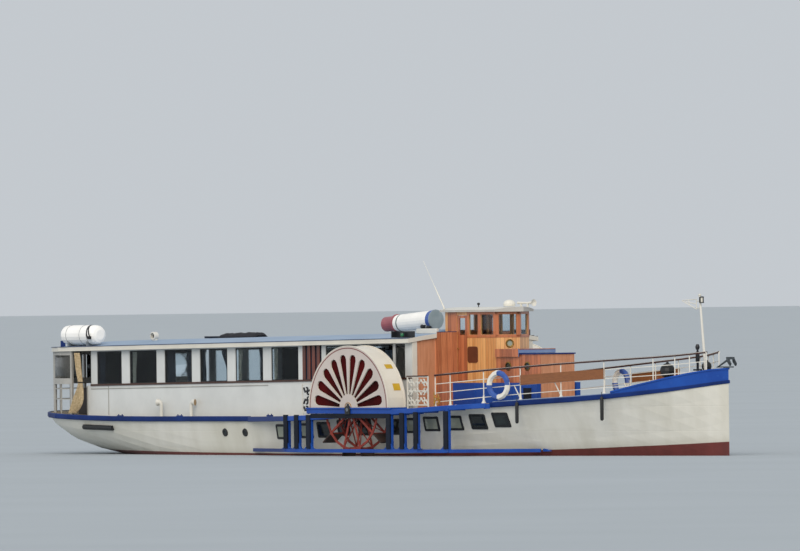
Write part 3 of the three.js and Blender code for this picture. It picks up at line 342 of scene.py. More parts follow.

# Centre along the boat, height, width, depth, corner radius, pale with a painted reflection
HULL_WINDOWS = ((-1.70, 0.59, 0.50, 0.38, 0.04, 1), (-0.76, 0.615, 0.50, 0.38, 0.04, 1),
                (-0.08, 0.64, 0.52, 0.40, 0.04, 0), (0.69, 0.69, 0.48, 0.40, 0.04, 0),
                (1.50, 0.71, 0.52, 0.42, 0.04, 0), (2.62, 0.715, 0.50, 0.40, 0.04, 0),
                (3.22, 0.75, 0.50, 0.38, 0.04, 1), (3.905, 0.79, 0.53, 0.37, 0.04, 1),
                (4.665, 0.81, 0.53, 0.37, 0.04, 1), (5.435, 0.84, 0.53, 0.38, 0.04, 0),
                (6.175, 0.885, 0.50, 0.37, 0.04, 0), (-4.00, 0.57, 0.21, 0.21, 0.105, 0),
                (-3.20, 0.57, 0.21, 0.21, 0.105, 0))


# A rounded oblong as (u, v) pairs round its middle
def oblong(width, depth, corner, steps=5):
    loop = []
    for cu, cv, start in ((1, 1, 0), (-1, 1, 90), (-1, -1, 180), (1, -1, 270)):
        for k in range(steps + 1):
            a = math.radians(start + 90 * k / steps)
            u = cu * (width / 2 - corner) + corner * math.cos(a)
            v = cv * (depth / 2 - corner) + corner * math.sin(a)
            loop.append((u, v))
    return loop


# Breadth of the rubber frame, and how far each line of its section is set out and stands off
RIM_WIDE = 0.062
RIM_SECTION = ((RIM_WIDE, -0.004), (RIM_WIDE * 0.8, 0.022), (0.004, 0.022), (0, 0.012))
for side_name, side in BOTH:
    frames, panes, pale_panes = [], [], []
    for x, z, width, depth, corner, painted_pale in HULL_WINDOWS:
        rows = []
        for grow, lift in RIM_SECTION:
            row = []
            less = 2 * (RIM_WIDE - grow)
            for u, v in oblong(width - less, depth - less, max(0.012, corner - less / 2)):
                spot, out = on_side("hull", x + u, z + v, side)
                row.append(spot + out * lift)
            rows.append(row)
        count = len(rows[0])
        frames.append((sum(rows, []), ring_faces(len(rows), count)))
        spot, out = on_side("hull", x, z, side)
        pane = (rows[-1] + [spot + out * 0.013], [(k, (k + 1) % count, count) for k in range(count)])
        (pale_panes if painted_pale else panes).append(pane)
    piece(f"hull_window_frames_{side_name}", frames, rubber_black)
    piece(f"hull_window_panes_{side_name}", panes, cabin_glass)
    piece(f"hull_window_pale_glass_{side_name}", pale_panes, pale_glass_painted_reflection)


# Tube fenders of black rubber hung on lanyards from the deck edge, and a long one lashed flat on
# the quarter, with bare light ends
def deck_rim():
    """The deck's upper edge to starboard, from its own points, aft to forward."""
    best = {}
    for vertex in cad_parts["deck"].data.vertices:
        x, y, z = vertex.co
        key = round(x, 3)
        if y < -0.3 and (key not in best or (round(-y, 3), z) > (round(-best[key].y, 3), best[key].z)):
            best[key] = vertex.co.copy()
    return [best[key] for key in sorted(best)]


RIM = deck_rim()


# Half-breadth and height of the deck's edge at any place along the boat
def rim_at(x):
    for a, b in zip(RIM, RIM[1:]):
        if a.x <= x <= b.x:
            t = (x - a.x) / (b.x - a.x)
            return abs(a.y) + (abs(b.y) - abs(a.y)) * t, a.z + (b.z - a.z) * t
    return (abs(RIM[-1].y), RIM[-1].z) if x > RIM[-1].x else (abs(RIM[0].y), RIM[0].z)


# Distance along the boat, lower end, length
HUNG_FENDERS = ((6.93, 0.80, 0.52), (9.40, 0.86, 0.58))
for side_name, side in BOTH:
    stock = []
    for x, low, length in HUNG_FENDERS:
        base = Vector((x, side * (rim_at(x)[0] + 0.115), low))
        rows = ((0.012, 0), (0.036, 0.012), (0.044, 0.05))
        rows += tuple((r, length - d) for r, d in rows[::-1])
        turned(stock, rows, base, (0, 0, 1), 14)
        pipe(stock, [base + Vector((0, 0, length)), base + Vector((0, 0, length + 0.12))], 0.008, 6)
    line = []
    for k in range(9):
        spot, out = on_side("hull", -9.75 + 1.20 * k / 8, 0.715 - 0.004 * k, side)
        line.append(spot + out * 0.035)
    pipe(stock, line, 0.066, 12)
    piece(f"tube_fenders_{side_name}", stock, rubber_black)


# Rudder of welded plate in matt antifouling, and the engine block in grey machine paint
antifouling, tree, shader, place = surface("antifouling_on_steel", 0.75)
patchy = noise(tree, place, 6.0, 5.0)
stain(tree, shader, patchy, "4A1C18", "6E302A", 0.3, 0.7)
relief(tree, shader, patchy, 0.3, 0.002)
finish_node(antifouling, "rudder")

machine_grey, tree, shader, place = surface("machine_paint_on_cast_iron", 0.45)
cast = noise(tree, place, 30.0, 6.0)
stain(tree, shader, cast, "40474A", "5C6468", 0.3, 0.7)
relief(tree, shader, cast, 0.4, 0.002)
finish_node(machine_grey, "engine_block")

turned_steel, tree, shader, place = surface("turned_shaft_steel", 0.3, 1.0)
marks = node(tree, "Mapping", Vector=place, Scale=(20, 400, 20))
rings = noise(tree, marks.outputs["Vector"], 1.0, 2.0)
stain(tree, shader, rings, "6E7072", "9A9C9E")
finish_node(turned_steel, "paddle_shaft")


# Deck of laid teak planks 90 mm wide, payed with black caulking and left to weather grey-brown
weathered_teak, tree, shader, place = surface("laid_teak_deck", 0.7)
split = node(tree, "SeparateXYZ", Vector=place)
PLANK = 0.09
strip = maths(tree, "DIVIDE", split.outputs["Y"], PLANK)
number = maths(tree, "FLOOR", strip)
tone = node(tree, "TexWhiteNoise", {"noise_dimensions": "1D"}, W=number)
stretched = node(tree, "Mapping", Vector=place, Scale=(2.0, 45.0, 45.0))
grain = noise(tree, stretched.outputs["Vector"], 1.0, 6.0, 0.6)
mixed = maths(tree, "MULTIPLY_ADD", tone.outputs["Value"], 0.35, grain)
wood = ramp(tree, mixed, "6E5F4B", "AB9C82", 0.25, 0.95)
seam = maths(tree, "PINGPONG", split.outputs["Y"], PLANK / 2)
caulk = node(tree, "MapRange", i0=seam, i1=0.003, i2=0.006)
deck_colour = blend(tree, caulk.outputs["Result"], paint("17171A"), wood)
tree.links.new(deck_colour, shader.inputs["Base Color"])
relief(tree, shader, caulk.outputs["Result"], 0.3, 0.003)
finish_node(weathered_teak, "deck")


# Rubbing strakes of steel half-round, the bow bulwark and the sponsons' guards and posts, all in
# the same bright blue oil enamel, brushed on; it has rubbed and chalked along the edges
BRUSH_MARK = 0.048


def brushed_enamel(name, code, roughness=0.32, shade=None, chalk=None, shine=0.5, aft=None):
    """Oil enamel laid on with a brush: an even gloss that breaks a little over the brush marks."""
    material, tree, shader, place = surface(name, roughness)
    shader.inputs["Specular IOR Level"].default_value = shine
    cloud = noise(tree, place, 1.1, 4.0, 0.6)
    colour = ramp(tree, cloud, shade or code, code, 0.3, 0.65)
    if chalk:
        fine = noise(tree, place, 14.0, 6.0, 0.7)
        worn = node(tree, "MapRange", i0=fine, i1=0.60, i2=0.72, i3=0.0, i4=0.55)
        colour = blend(tree, worn.outputs["Result"], colour, paint(chalk))
    if aft:
        along = node(tree, "SeparateXYZ", Vector=place)
        newer = node(tree, "MapRange", i0=along.outputs["X"], i1=-1.25, i2=-0.80)
        colour = blend(tree, newer.outputs["Result"], paint(aft), colour)
    tree.links.new(colour, shader.inputs["Base Color"])
    marks = noise(tree, place, 1.0 / BRUSH_MARK, 3.0)
    relief(tree, shader, marks, 0.15, 0.002)
    gloss = node(tree, "MapRange", i0=marks, i3=roughness - 0.05, i4=roughness + 0.10)
    tree.links.new(gloss.outputs["Result"], shader.inputs["Roughness"])
    return material


bright_blue = brushed_enamel("bright_blue_enamel", "1D50A8", 0.35, shade="153F92", chalk="3C64AC", shine=0.3)
guard_blue = brushed_enamel("bright_blue_enamel_on_guard", "1D50A8", 0.35, shade="153F92", chalk="3C64AC",
                            shine=0.3, aft="16306E")
deep_blue = brushed_enamel("deep_blue_enamel", "173272", 0.45, shade="11265A", chalk="2C4680", shine=0.15)
finish_node(bright_blue, "bow_bulwark")
finish_node(guard_blue, "sponson_frame_starboard", "sponson_frame_port")
finish_node(deep_blue, "strake_fore", "strake_aft")

# Rounded gussets in the corners of the sponson's bays: after post and forward post of each bay, and
# the guard's distance from the centreline where it is less than amidships. The aftmost bay runs out
# along the guard and has a gusset at its forward post only
GUSSET_BAYS = ((-2.2, -0.98), (-0.84, -0.47), (-0.33, 0.04), (0.18, 3.12), (3.26, 3.63), (3.77, 4.14),
               (4.28, 5.07))
TAPER = {-0.98: 2.76, -0.84: 2.79, -0.47: 2.85, -0.33: 2.862, 5.07: 2.724}
LOWER_RAIL_TOP = 0.18
for side_name, side in BOTH:
    stock = []
    for start, end in GUSSET_BAYS:
        for x, way in ((start, 1), (end, -1)):
            if start < -2 and way == 1:
                continue
            y = side * TAPER.get(x, 2.9)
            reach = min(0.17, (end - start) * 0.45)
            outline = [(x, y, LOWER_RAIL_TOP)]
            for degrees in range(0, 91, 15):
                a = math.radians(degrees)
                along = x + way * (reach - reach * math.sin(a))
                outline.append((along, y, LOWER_RAIL_TOP + reach - reach * math.cos(a)))
            board(stock, outline, (0, -side * 0.05, 0))
    piece(f"bay_gussets_{side_name}", stock, bright_blue, bevel=0.003)

# Near-black plates on the posts' faces, painted shade for the posts' flanks that lie in shadow, and a black
# board over the wheel that paints the shadowed recess under the box. The blue rails are carried on by short
# ends: a plate up to the fore strake, a pointed tip
# Near-black tar varnish; laid on the posts, over the wheel and in the locker's open bay, its black is painted
# shade
tar_black_and_painted_shade = brushed_enamel("black_tar_varnish_and_painted_shade", "1A2130", 0.6, shade="10141E", shine=0.2)
# Middle of each post, distance of its face from the centreline, height of its head
POST_FACES = ((-0.91, 2.780, 1.02), (-0.40, 2.860, 1.02), (0.11, 2.900, 1.02), (3.19, 2.900, 1.05),
              (3.70, 2.900, 1.07), (4.21, 2.885, 1.09), (5.14, 2.710, 1.11))
FORE_PLATE = ((5.90, 1.155), (6.10, 1.165), (6.10, 1.285), (5.90, 1.275))
POINTED_TIP = ((7.10, 0.105), (7.18, 0.105), (7.36, 0.115), (7.33, 0.135), (7.18, 0.175), (7.10, 0.175))
for side_name, side in BOTH:
    stock = []
    for x, y, head in POST_FACES:
        # Plates on the posts' faces: painted shade of the flanks
        block(stock, x - 0.074, x + 0.074, side * (y - 0.02), side * (y + 0.030), 0.185, head)
    # Board under the box's ledge: painted shadow of the recess over the wheel
    block(stock, 0.19, 3.11, side * 2.885, side * 2.903, 0.935, 1.053)
    piece(f"post_plates_painted_shade_{side_name}", stock, tar_black_and_painted_shade, bevel=0.004)
    stock = []
    board(stock, [(x, side * 2.10, z) for x, z in FORE_PLATE], (0, side * 0.04, 0))
    near = abs(on_side("hull", 7.2, 0.14, side)[0].y) - 0.03
    board(stock, [(x, side * near, z) for x, z in POINTED_TIP], (0, side * 0.075, 0))
    piece(f"guard_ends_{side_name}", stock, bright_blue, bevel=0.004)


# Margin plank round the foredeck over the strake, in a pale grey-blue that paints the reflection seen along
# the deck edge
grey_blue_paint_and_painted_light = brushed_enamel("pale_grey_blue_paint_and_painted_light", "93A5BC", 0.5, shade="7F91AA")
MARGIN_WIDE, MARGIN_THICK = 0.13, 0.035
for side_name, side in BOTH:
    stock, rows = [], []
    for x in (6.05, 6.6, 7.2, 7.8, 8.4, 9.0, 9.5):
        y, z = rim_at(x)
        rows += [(x, side * y, z), (x, side * y, z + MARGIN_THICK)]
        rows += [(x, side * (y - MARGIN_WIDE), z + MARGIN_THICK), (x, side * (y - MARGIN_WIDE), z)]
    loft(stock, rows, 4)
    piece(f"deck_edge_painted_reflection_{side_name}", stock, grey_blue_paint_and_painted_light, bevel=0.006)


# Wing decks in white deck paint; the ironwork panels on them carry scrolls bent from flat bar,
# riveted back to back and painted white with the frames
old_white = brushed_enamel("old_white_enamel", "DAD8D0", 0.38, shade="C9C7BE", chalk="B2AFA4")
finish_node(old_white, "wing_deck_starboard", "wing_deck_port")


# A scroll of bar: a curl that opens from its eye, then a tail; side -1 mirrors it
def curl(x, z, size, turn, start, y, steps=22):
    line = []
    for k in range(steps):
        t = k / (steps - 1)
        a = math.radians(start) + turn * t * 1.6 * math.pi
        r = size * (0.22 + 0.78 * t)
        line.append((x + r * math.cos(a), y, z + r * math.sin(a)))
    return line


# Ends along the boat, foot, head, columns, rows, thickness, whether they are black
PANEL_Y = 2.361
SCROLL_PANELS = ((-0.745, -0.015, 1.02, 1.72, 2, 3, 0.050, 1), (3.31, 4.055, 1.25, 1.92, 3, 3, 0.036, 0))
black_paint = brushed_enamel("black_paint_on_ironwork", "22242A", 0.4, shade="17181C")
for side_name, side in BOTH:
    for x0, x1, z0, z1, columns, rows, thick, black in SCROLL_PANELS:
        stock = []
        y = side * PANEL_Y
        wide, tall = (x1 - x0) / columns, (z1 - z0) / rows
        size = min(wide, tall) * (0.42 if black else 0.36)
        for i in range(columns):
            for j in range(rows):
                x, z = x0 + wide * (i + 0.5), z0 + tall * (j + 0.5)
                turn = 1 if (i + j) % 2 else -1
                for end in (1, -1):
                    eye_x, eye_z = x + turn * end * wide * 0.12, z + end * tall * 0.25
                    pipe(stock, curl(eye_x, eye_z, size, turn, 90 * end, y), thick / 2, 5)
                dx, dz = turn * wide * 0.3, tall * 0.1
                pipe(stock, [(x + dx, y, z - dz), (x, y, z), (x - dx, y, z + dz)], thick / 2, 5)
        label = "aft" if black else "fwd"
        piece(f"ironwork_scrolls_{label}_{side_name}", stock, black_paint if black else old_white)

# Gilded scroll bracket at the foot of the next rail bay, to starboard only
gilt, tree, shader, place = surface("ochre_gold_paint_on_cast_iron", 0.4)
leafy = noise(tree, place, 25.0, 4.0)
stain(tree, shader, leafy, "7A5218", "C08A32", 0.3, 0.7)
relief(tree, shader, leafy, 0.4, 0.002)
stock = []
for x, z, size, turn, start in ((4.42, 1.31, 0.115, 1, -90), (4.42, 1.48, 0.095, -1, 90),
                                (4.49, 1.40, 0.06, 1, 0)):
    pipe(stock, curl(x, z, size, turn, start, -PANEL_Y), 0.022, 6)
pipe(stock, [(4.30, -PANEL_Y, 1.20), (4.30, -PANEL_Y, 1.58)], 0.016, 6)
pipe(stock, [(4.28, -PANEL_Y, 1.21), (4.54, -PANEL_Y, 1.21)], 0.016, 6)
piece("gilt_bracket_starboard", stock, gilt)


# Paddle boxes of tongued boards on iron hoops, in gloss cream; their outer faces are a darker pinkish white,
# partly their own paint and partly painted shade, ruled with a dark red line; near-black red boards close the
# fan of slots from inside, partly painted shade inside the box
box_cream = brushed_enamel("gloss_cream_enamel", "DED8CB", 0.28, shade="D2CBBD")
pinkish_white_painted_shade = brushed_enamel("pinkish_white_enamel_with_painted_shade", "CCC1BA", 0.32, shade="C0B4AD")


# Gives some faces of a CAD node a second material: wanted is asked of each face's middle and normal
def second_finish(name, material, wanted):
    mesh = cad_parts[name].data
    mesh.materials.append(material)
    for face in mesh.polygons:
        if wanted(face.center, face.normal):
            face.material_index = len(mesh.materials) - 1


# The outer face gets the darker pinkish white: its own pinkish paint, darkened as painted shade for a face
# that lies out of the light
finish_node(box_cream, "paddle_box_starboard", "paddle_box_port")
for side_name, side in BOTH:
    second_finish(f"paddle_box_{side_name}", pinkish_white_painted_shade,
                  lambda middle, out: abs(middle.y) > 2.88 and abs(out.y) > 0.9)
ruling_red = brushed_enamel("dark_red_lining_paint", "7A2B22", 0.35, shade="6A221C")
# Near-black red behind the slots: dark red paint, darkened as painted shade inside the box
slot_red = brushed_enamel("dark_red_paint_in_shadow", "520A0C", 0.8, shade="240507", shine=0.1)
patch_yellow = brushed_enamel("ochre_yellow_paint", "C9A227", 0.4, shade="B08A1C")
BOX_X, BOX_Z, BOX_R, BOX_FACE = 1.65, 1.20, 1.51, 2.90
WHEEL_Z = 1.15


# Part of a flat ring on the box's face or rim: from a0 to a1 degrees
def arc_strip(stock, r0, r1, y0, y1, a0=0.0, a1=180.0, steps=48):
    rows = []
    for k in range(steps + 1):
        a = math.radians(a0 + (a1 - a0) * k / steps)
        for r, y in ((r0, y0), (r1, y0), (r1, y1), (r0, y1)):
            rows.append((BOX_X + r * math.cos(a), y, BOX_Z + r * math.sin(a)))
    loft(stock, rows, 4)


for side_name, side in BOTH:
    stock = []
    arc_strip(stock, 0.02, 1.40, side * 2.855, side * 2.845)
    piece(f"slot_backing_{side_name}", stock, slot_red)
    stock = []
    arc_strip(stock, 1.455, 1.475, side * (BOX_FACE + 0.0005), side * (BOX_FACE + 0.0045))
    piece(f"face_lining_{side_name}", stock, ruling_red)
    stock = []
    arc_strip(stock, BOX_R - 0.005, BOX_R + 0.016, side * 2.905, side * 2.86)
    arc_strip(stock, BOX_R - 0.005, BOX_R + 0.016, side * 2.36, side * 2.31)
    piece(f"rim_hoops_{side_name}", stock, box_cream, bevel=0.004)
    stock = []
    for middle, reach in ((41.8, 2.6), (19.5, 3.4)):
        arc_strip(stock, BOX_R, BOX_R + 0.004, side * 2.64, side * 2.42, middle - reach, middle + reach, 6)
    piece(f"rim_patches_{side_name}", stock, patch_yellow)
    stock = []
    arc_strip(stock, 0.115, 0.128, side * (BOX_FACE + 0.0005), side * (BOX_FACE + 0.010))
    piece(f"hub_lining_{side_name}", stock, gilt)

# Ledge under the box's face, in the sponson's blue; on it the bearing's black bracket, cap and oil cup
for side_name, side in BOTH:
    stock = []
    block(stock, BOX_X - 1.62, BOX_X + 1.62, side * BOX_FACE, side * 2.925, 1.165, 1.198)
    piece(f"box_ledge_{side_name}", stock, bright_blue, bevel=0.005)
    stock = []
    block(stock, BOX_X - 0.09, BOX_X + 0.09, side * BOX_FACE, side * 2.941, 1.035, 1.205)
    turned(stock, ((0.034, -0.01), (0.034, 0.03), (0.022, 0.05)), (BOX_X, side * 2.908, 1.245), (0, 0, 1), 16)
    turned(stock, ((0.098, -0.02), (0.098, 0.013), (0.090, 0.016)), (BOX_X, side * 2.926, WHEEL_Z),
           (0, side, 0), 28)
    piece(f"bearing_bracket_{side_name}", stock, rubber_black, bevel=0.003)


# Paddle wheels of flat iron bar with wooden floats, brushed with red oxide that has rusted; the
# floats have gone dark with wet. Thin crossed rods brace the arms from side to side
red_oxide, tree, shader, place = surface("rusty_red_oxide_on_iron", 0.7)
rusty = noise(tree, place, 9.0, 6.0, 0.65)
iron = ramp(tree, rusty, "5C1B14", "9C3A29", 0.3, 0.7)
wet_wood = ramp(tree, rusty, "1E1714", "453027", 0.3, 0.7)
flat = node(tree, "Mapping", Vector=place, Location=(-BOX_X, 0, -WHEEL_Z), Scale=(1, 0, 1))
spread = node(tree, "VectorMath", {"operation": "LENGTH"}, i0=flat.outputs["Vector"])
at_floats = node(tree, "MapRange", i0=spread.outputs["Value"], i1=1.015, i2=1.025)
wheel_colour = blend(tree, at_floats.outputs["Result"], iron, wet_wood)
tree.links.new(wheel_colour, shader.inputs["Base Color"])
relief(tree, shader, rusty, 0.5, 0.003)
finish_node(red_oxide, "paddle_wheel_starboard", "paddle_wheel_port")
for side_name, side in BOTH:
    stock = []
    for k in range(10):
        a = math.radians(36 * k)
        b = math.radians(36 * k + 36)
        inner, outer = side * 2.392, side * 2.788
        near = (BOX_X + 0.16 * math.cos(a), WHEEL_Z + 0.16 * math.sin(a))
        far = (BOX_X + 0.97 * math.cos(b), WHEEL_Z + 0.97 * math.sin(b))
        tip = (BOX_X + 1.25 * math.cos(b), WHEEL_Z + 1.25 * math.sin(b))
        for start, end in ((outer, inner), (inner, outer)):
            pipe(stock, [(near[0], start, near[1]), (far[0], end, far[1])], 0.015, 6)
        for y in (outer, inner):
            pipe(stock, [(far[0], y, far[1]), (tip[0], y, tip[1])], 0.016, 6)
    piece(f"wheel_bracing_{side_name}", stock, red_oxide, body="paddle_wheels")


# Saloon sides of painted ply on a timber frame: a joint covered by a flat bead, a dark stained sill along the
# top, and a thin moulding under it; moulding and beads are a grey white, darker than the wall
house_white = brushed_enamel("house_white_enamel", "D6D8D6", 0.36, shade="CACCCA")
finish_node(house_white, "saloon_side_starboard", "saloon_side_port", "window_posts_starboard",
            "window_posts_port")
sill_brown = brushed_enamel("dark_brown_stain_on_oak", "4B2E22", 0.4, shade="38211A")
cream_white = brushed_enamel("cream_white_enamel", "DAD6CB", 0.36, shade="CDC9BE")
grey_white_moulding = brushed_enamel("grey_white_on_moulding", "A9A8A2", 0.45, shade="8F8E88")


# The sill's upper edge and the roof's edge climb a little to the bow
SHEER = 0.012


def sill_z(x):
    return 1.74 + SHEER * (x + 10)


# The wall's distance from the centreline, and each window post's middle and breadth
WALL = 1.95
POSTS = ((-9.55, 0.24), (-8.27, 0.32), (-6.86, 0.32), (-5.45, 0.32), (-4.04, 0.32), (-2.63, 0.32),
         (-1.32, 0.17), (-0.42, 0.16), (1.00, 0.20), (2.30, 0.09), (2.85, 0.26))


# A strip along the wall from its after end, from low to high above the sill's line
def wall_strip(stock, side, length, proud, low, high):
    rows = []
    for k in range(9):
        x = POSTS[0][0] - POSTS[0][1] / 2 + length * k / 8
        z = sill_z(x)
        rows += [(x, side * WALL, z + low), (x, side * (WALL + proud), z + low)]
        rows += [(x, side * (WALL + proud), z + high), (x, side * WALL, z + high)]
    loft(stock, rows, 4)


for side_name, side in BOTH:
    stock = []
    wall_strip(stock, side, 12.65, 0.028, -0.012, 0.036)
    piece(f"window_sill_{side_name}", stock, sill_brown, bevel=0.004)
    stock = []
    wall_strip(stock, side, 7.08, 0.012, -0.095, -0.095 + 0.022)
    foot, head = rim_at(-8.97)[1] + 0.03, sill_z(-8.97) - 0.02
    block(stock, -8.978, -8.954, side * WALL, side * (WALL + 0.010), foot, head)
    foot, head = rim_at(-9.8)[1] + 0.02, sill_z(-9.8) - 0.01
    block(stock, -9.84, -9.80, side * WALL, side * (WALL + 0.014), foot, head)
    piece(f"side_mouldings_{side_name}", stock, grey_white_moulding, bevel=0.003)

# Saloon windows: sheets of clear glass in dark rubber beading, set back in the openings
clear_glass, tree, shader, place = surface("float_window_glass", 0.03)
film = noise(tree, place, 1.5, 4.0)
stain(tree, shader, film, "E2ECF1", "EDF4F8")
shader.inputs["Transmission Weight"].default_value = 1.0
shader.inputs["IOR"].default_value = 1.2
dusty = node(tree, "MapRange", i0=film, i3=0.02, i4=0.09)
tree.links.new(dusty.outputs["Result"], shader.inputs["Roughness"])
BEAD = 0.012
# The bay that has boards in place of a window
PLANKED = 6
for side_name, side in BOTH:
    beading, panes = [], []
    for i in range(len(POSTS) - 1):
        if i == PLANKED:
            continue
        a = POSTS[i][0] + POSTS[i][1] / 2
        b = POSTS[i + 1][0] - POSTS[i + 1][1] / 2
        low_a, low_b, top_a, top_b = sill_z(a) + 0.03, sill_z(b) + 0.03, sill_z(a) + 0.86, sill_z(b) + 0.86
        y = side * (WALL - 0.023)
        line = ((a + BEAD, low_a + BEAD), (b - BEAD, low_b + BEAD),
                (b - BEAD, top_b - BEAD), (a + BEAD, top_a - BEAD))
        for (xa, za), (xb, zb) in zip(line, line[1:] + line[:1]):
            pipe(beading, [(xa, y, za), (xb, y, zb)], BEAD, 6)
        board(panes, [(x, side * (WALL - 0.021), z) for x, z in line], (0, -side * 0.004, 0))
    piece(f"window_beading_{side_name}", beading, rubber_black)
    piece(f"window_glass_{side_name}", panes, clear_glass)


# Curtains of navy cotton, and some of grey-white cotton, each a flat width of cloth gathered into
# pleats on a rod. A few are drawn back by a band at two thirds of their height
def cotton(name, dark, light):
    """Plain woven cotton: dull, with a mottle of lighter and darker tone that paints light and shade on the
    folds, and a fine weave in the bump.
    """
    material, tree, shader, place = surface(name, 0.9)
    fold_light_and_shade = noise(tree, place, 18.0, 3.0)
    stain(tree, shader, fold_light_and_shade, dark, light, 0.3, 0.7)
    weave = node(tree, "TexWave", {"bands_direction": "Z"}, Vector=place, Scale=120.0, Distortion=1.0)
    relief(tree, shader, weave.outputs["Color"], 0.2, 0.001)
    return material


navy_cotton = cotton("navy_woven_cotton", "12151D", "242A38")
grey_cotton = cotton("grey_white_woven_cotton", "77776F", "96968C")


# An open sheet of cloth from rows of points, so many across, and the area of its modelled faces
def laid_sheet(name, points, across, material):
    faces = [(i + k, i + k + 1, i + across + k + 1, i + across + k)
             for i in range(0, len(points) - across, across) for k in range(across - 1)]
    mesh = bpy.data.meshes.new(name)
    mesh.from_pydata(points, [], faces)
    mesh.shade_smooth()
    mesh.materials.append(material)
    made = bpy.data.objects.new(name, mesh)
    bpy.context.scene.collection.objects.link(made)
    return made


def cloth_area(sheet):
    return sum(face.area for face in sheet.data.polygons)


# A pleated sheet: rows down it, each from x0 to x1 at a height; gives the sheet and its flat size
def pleated(name, rows, y, depth, pleats, material, side):
    across = pleats * 8 + 1
    points = []
    for x0, x1, z in rows:
        for k in range(across):
            t = k / (across - 1)
            wave = math.sin(2 * math.pi * pleats * t)
            points.append((x0 + (x1 - x0) * t, y + side * depth * wave, z))
    made = laid_sheet(name, points, across, material)
    drop = sum(abs(a[2] - b[2]) for a, b in zip(rows, rows[1:]))
    return made, cloth_area(made) / drop, drop


# Window, edge that it hangs by (1 after, -1 forward), width at the head and at the band, cloth
CURTAINS = ((0, 1, 0.22, 0.20, navy_cotton), (1, 1, 0.17, 0.13, grey_cotton), (2, 1, 0.30, 0.31, navy_cotton),
            (2, -1, 0.27, 0.25, navy_cotton), (3, 1, 0.04, 0.12, navy_cotton),
            (3, -1, 0.30, 0.10, navy_cotton), (4, 1, 0.17, 0.10, grey_cotton),
            (4, -1, 0.22, 0.08, navy_cotton), (5, 1, 0.14, 0.12, grey_cotton))
CLOSED_TO_PORT = ((1, 0.50), (2, 1.03), (5, 1.00))
for side_name, side in BOTH:
    hung = CURTAINS
    if side_name == "port":
        hung = [(i, -1, wide, wide, navy_cotton) for i, wide in CLOSED_TO_PORT]
    for i, way, head, band, cloth in hung:
        middle, breadth = POSTS[i] if way == 1 else POSTS[i + 1]
        edge = middle + way * (breadth / 2 + 0.03)
        rows = []
        for k in range(13):
            t = k / 12
            width = head + (band - head) * math.sin(math.pi * min(1, t / 0.7) / 2) ** 2
            rows.append((edge, edge + way * width, sill_z(edge) + 0.85 - 0.80 * t))
        name = f"curtain_{i}_{'aft' if way == 1 else 'fwd'}_{side_name}"
        pleats = max(3, round(max(head, band) / 0.05))
        made, flat_wide, flat_long = pleated(name, rows, side * (WALL - 0.085), 0.014, pleats, cloth, side)
        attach(made, "boat")


# Inside the saloon: slatted teak seats facing inward along both sides with a table between each
# pair, a dark panelled partition at each end, and boarding round the engine
satin_teak, tree, shader, place = surface("varnished_teak_joinery", 0.4)
stretched = node(tree, "Mapping", Vector=place, Scale=(3.0, 40.0, 3.0))
grain = noise(tree, stretched.outputs["Vector"], 1.0, 6.0)
stain(tree, shader, grain, "4A2814", "7A4A26", 0.3, 0.7)
shader.inputs["Coat Weight"].default_value = 0.3
stock = []
for side in (-1, 1):
    for k in range(6):
        x = -9.0 + 1.41 * k
        floor = rim_at(x)[1]
        for n in range(5):
            y = side * (1.30 + 0.09 * n)
            block(stock, x - 0.45, x + 0.45, y, y + side * 0.07, floor + 0.42, floor + 0.445)
        for n in range(3):
            low, high = floor + 0.52 + 0.11 * n, floor + 0.60 + 0.11 * n
            block(stock, x - 0.45, x + 0.45, side * 1.76, side * 1.78, low, high)
        for dx in (-0.4, 0.4):
            block(stock, x + dx - 0.02, x + dx + 0.02, side * 1.32, side * 1.36, floor, floor + 0.42)
            block(stock, x + dx - 0.02, x + dx + 0.02, side * 1.74, side * 1.78, floor, floor + 0.85)
        block(stock, x + 0.50, x + 0.90, side * 1.15, side * 1.80, floor + 0.70, floor + 0.73)
        block(stock, x + 0.68, x + 0.72, side * 1.45, side * 1.49, floor, floor + 0.70)
piece("saloon_seats_and_tables", stock, satin_teak, bevel=0.004)
stained_boards = brushed_enamel("dark_stained_boarding", "2E2521", 0.5, shade="1F1917")
stock = []
for x0, openings in ((0.20, ((-0.45, 0.40),)), (-9.78, ((0.80, 1.22),))):
    for k in range(20):
        y = -1.88 + 0.188 * k
        low = 1.02 if x0 < 0 else 1.07
        if any(y + 0.19 > a and y < b for a, b in openings):
            if x0 < 0:
                block(stock, x0, x0 + 0.025, y + 0.003, y + 0.185, low, 1.78)
            continue
        block(stock, x0, x0 + 0.025, y + 0.003, y + 0.185, low, 2.60)
    block(stock, x0 - 0.01, x0 + 0.04, -1.89, 1.89, 2.54, 2.62)
for x0, x1 in ((-1.5, 1.06), (1.33, 1.40)):
    block(stock, x0, x1, -1.21, -1.19, 1.10, 2.66)
    block(stock, x0, x1, 1.19, 1.21, 1.10, 2.66)
block(stock, -10.62, -9.90, -1.62, -0.75, 0.98, 1.68)
block(stock, 1.06, 1.33, -1.21, -1.19, 1.10, 2.33)
piece("saloon_partitions", stock, stained_boards, bevel=0.003)
casing_paint = brushed_enamel("grey_brown_paint_on_casing", "B4A89C", 0.6, shade="968A80")
stock = []
for side in (-1, 1):
    for k in range(8):
        block(stock, 1.41 + 0.19 * k, 1.41 + 0.19 * k + 0.183, side * 1.19, side * 1.21, 1.10, 2.66)
piece("engine_casing_boards", stock, casing_paint, bevel=0.003)
# Pale board in the casing's gap at its head: painted light for the light seen through the saloon there
stock = []
block(stock, 1.06, 1.33, -1.212, -1.198, 2.33, 2.60)
piece("pale_patch_painted_light", stock, grey_blue_paint_and_painted_light, bevel=0.003)

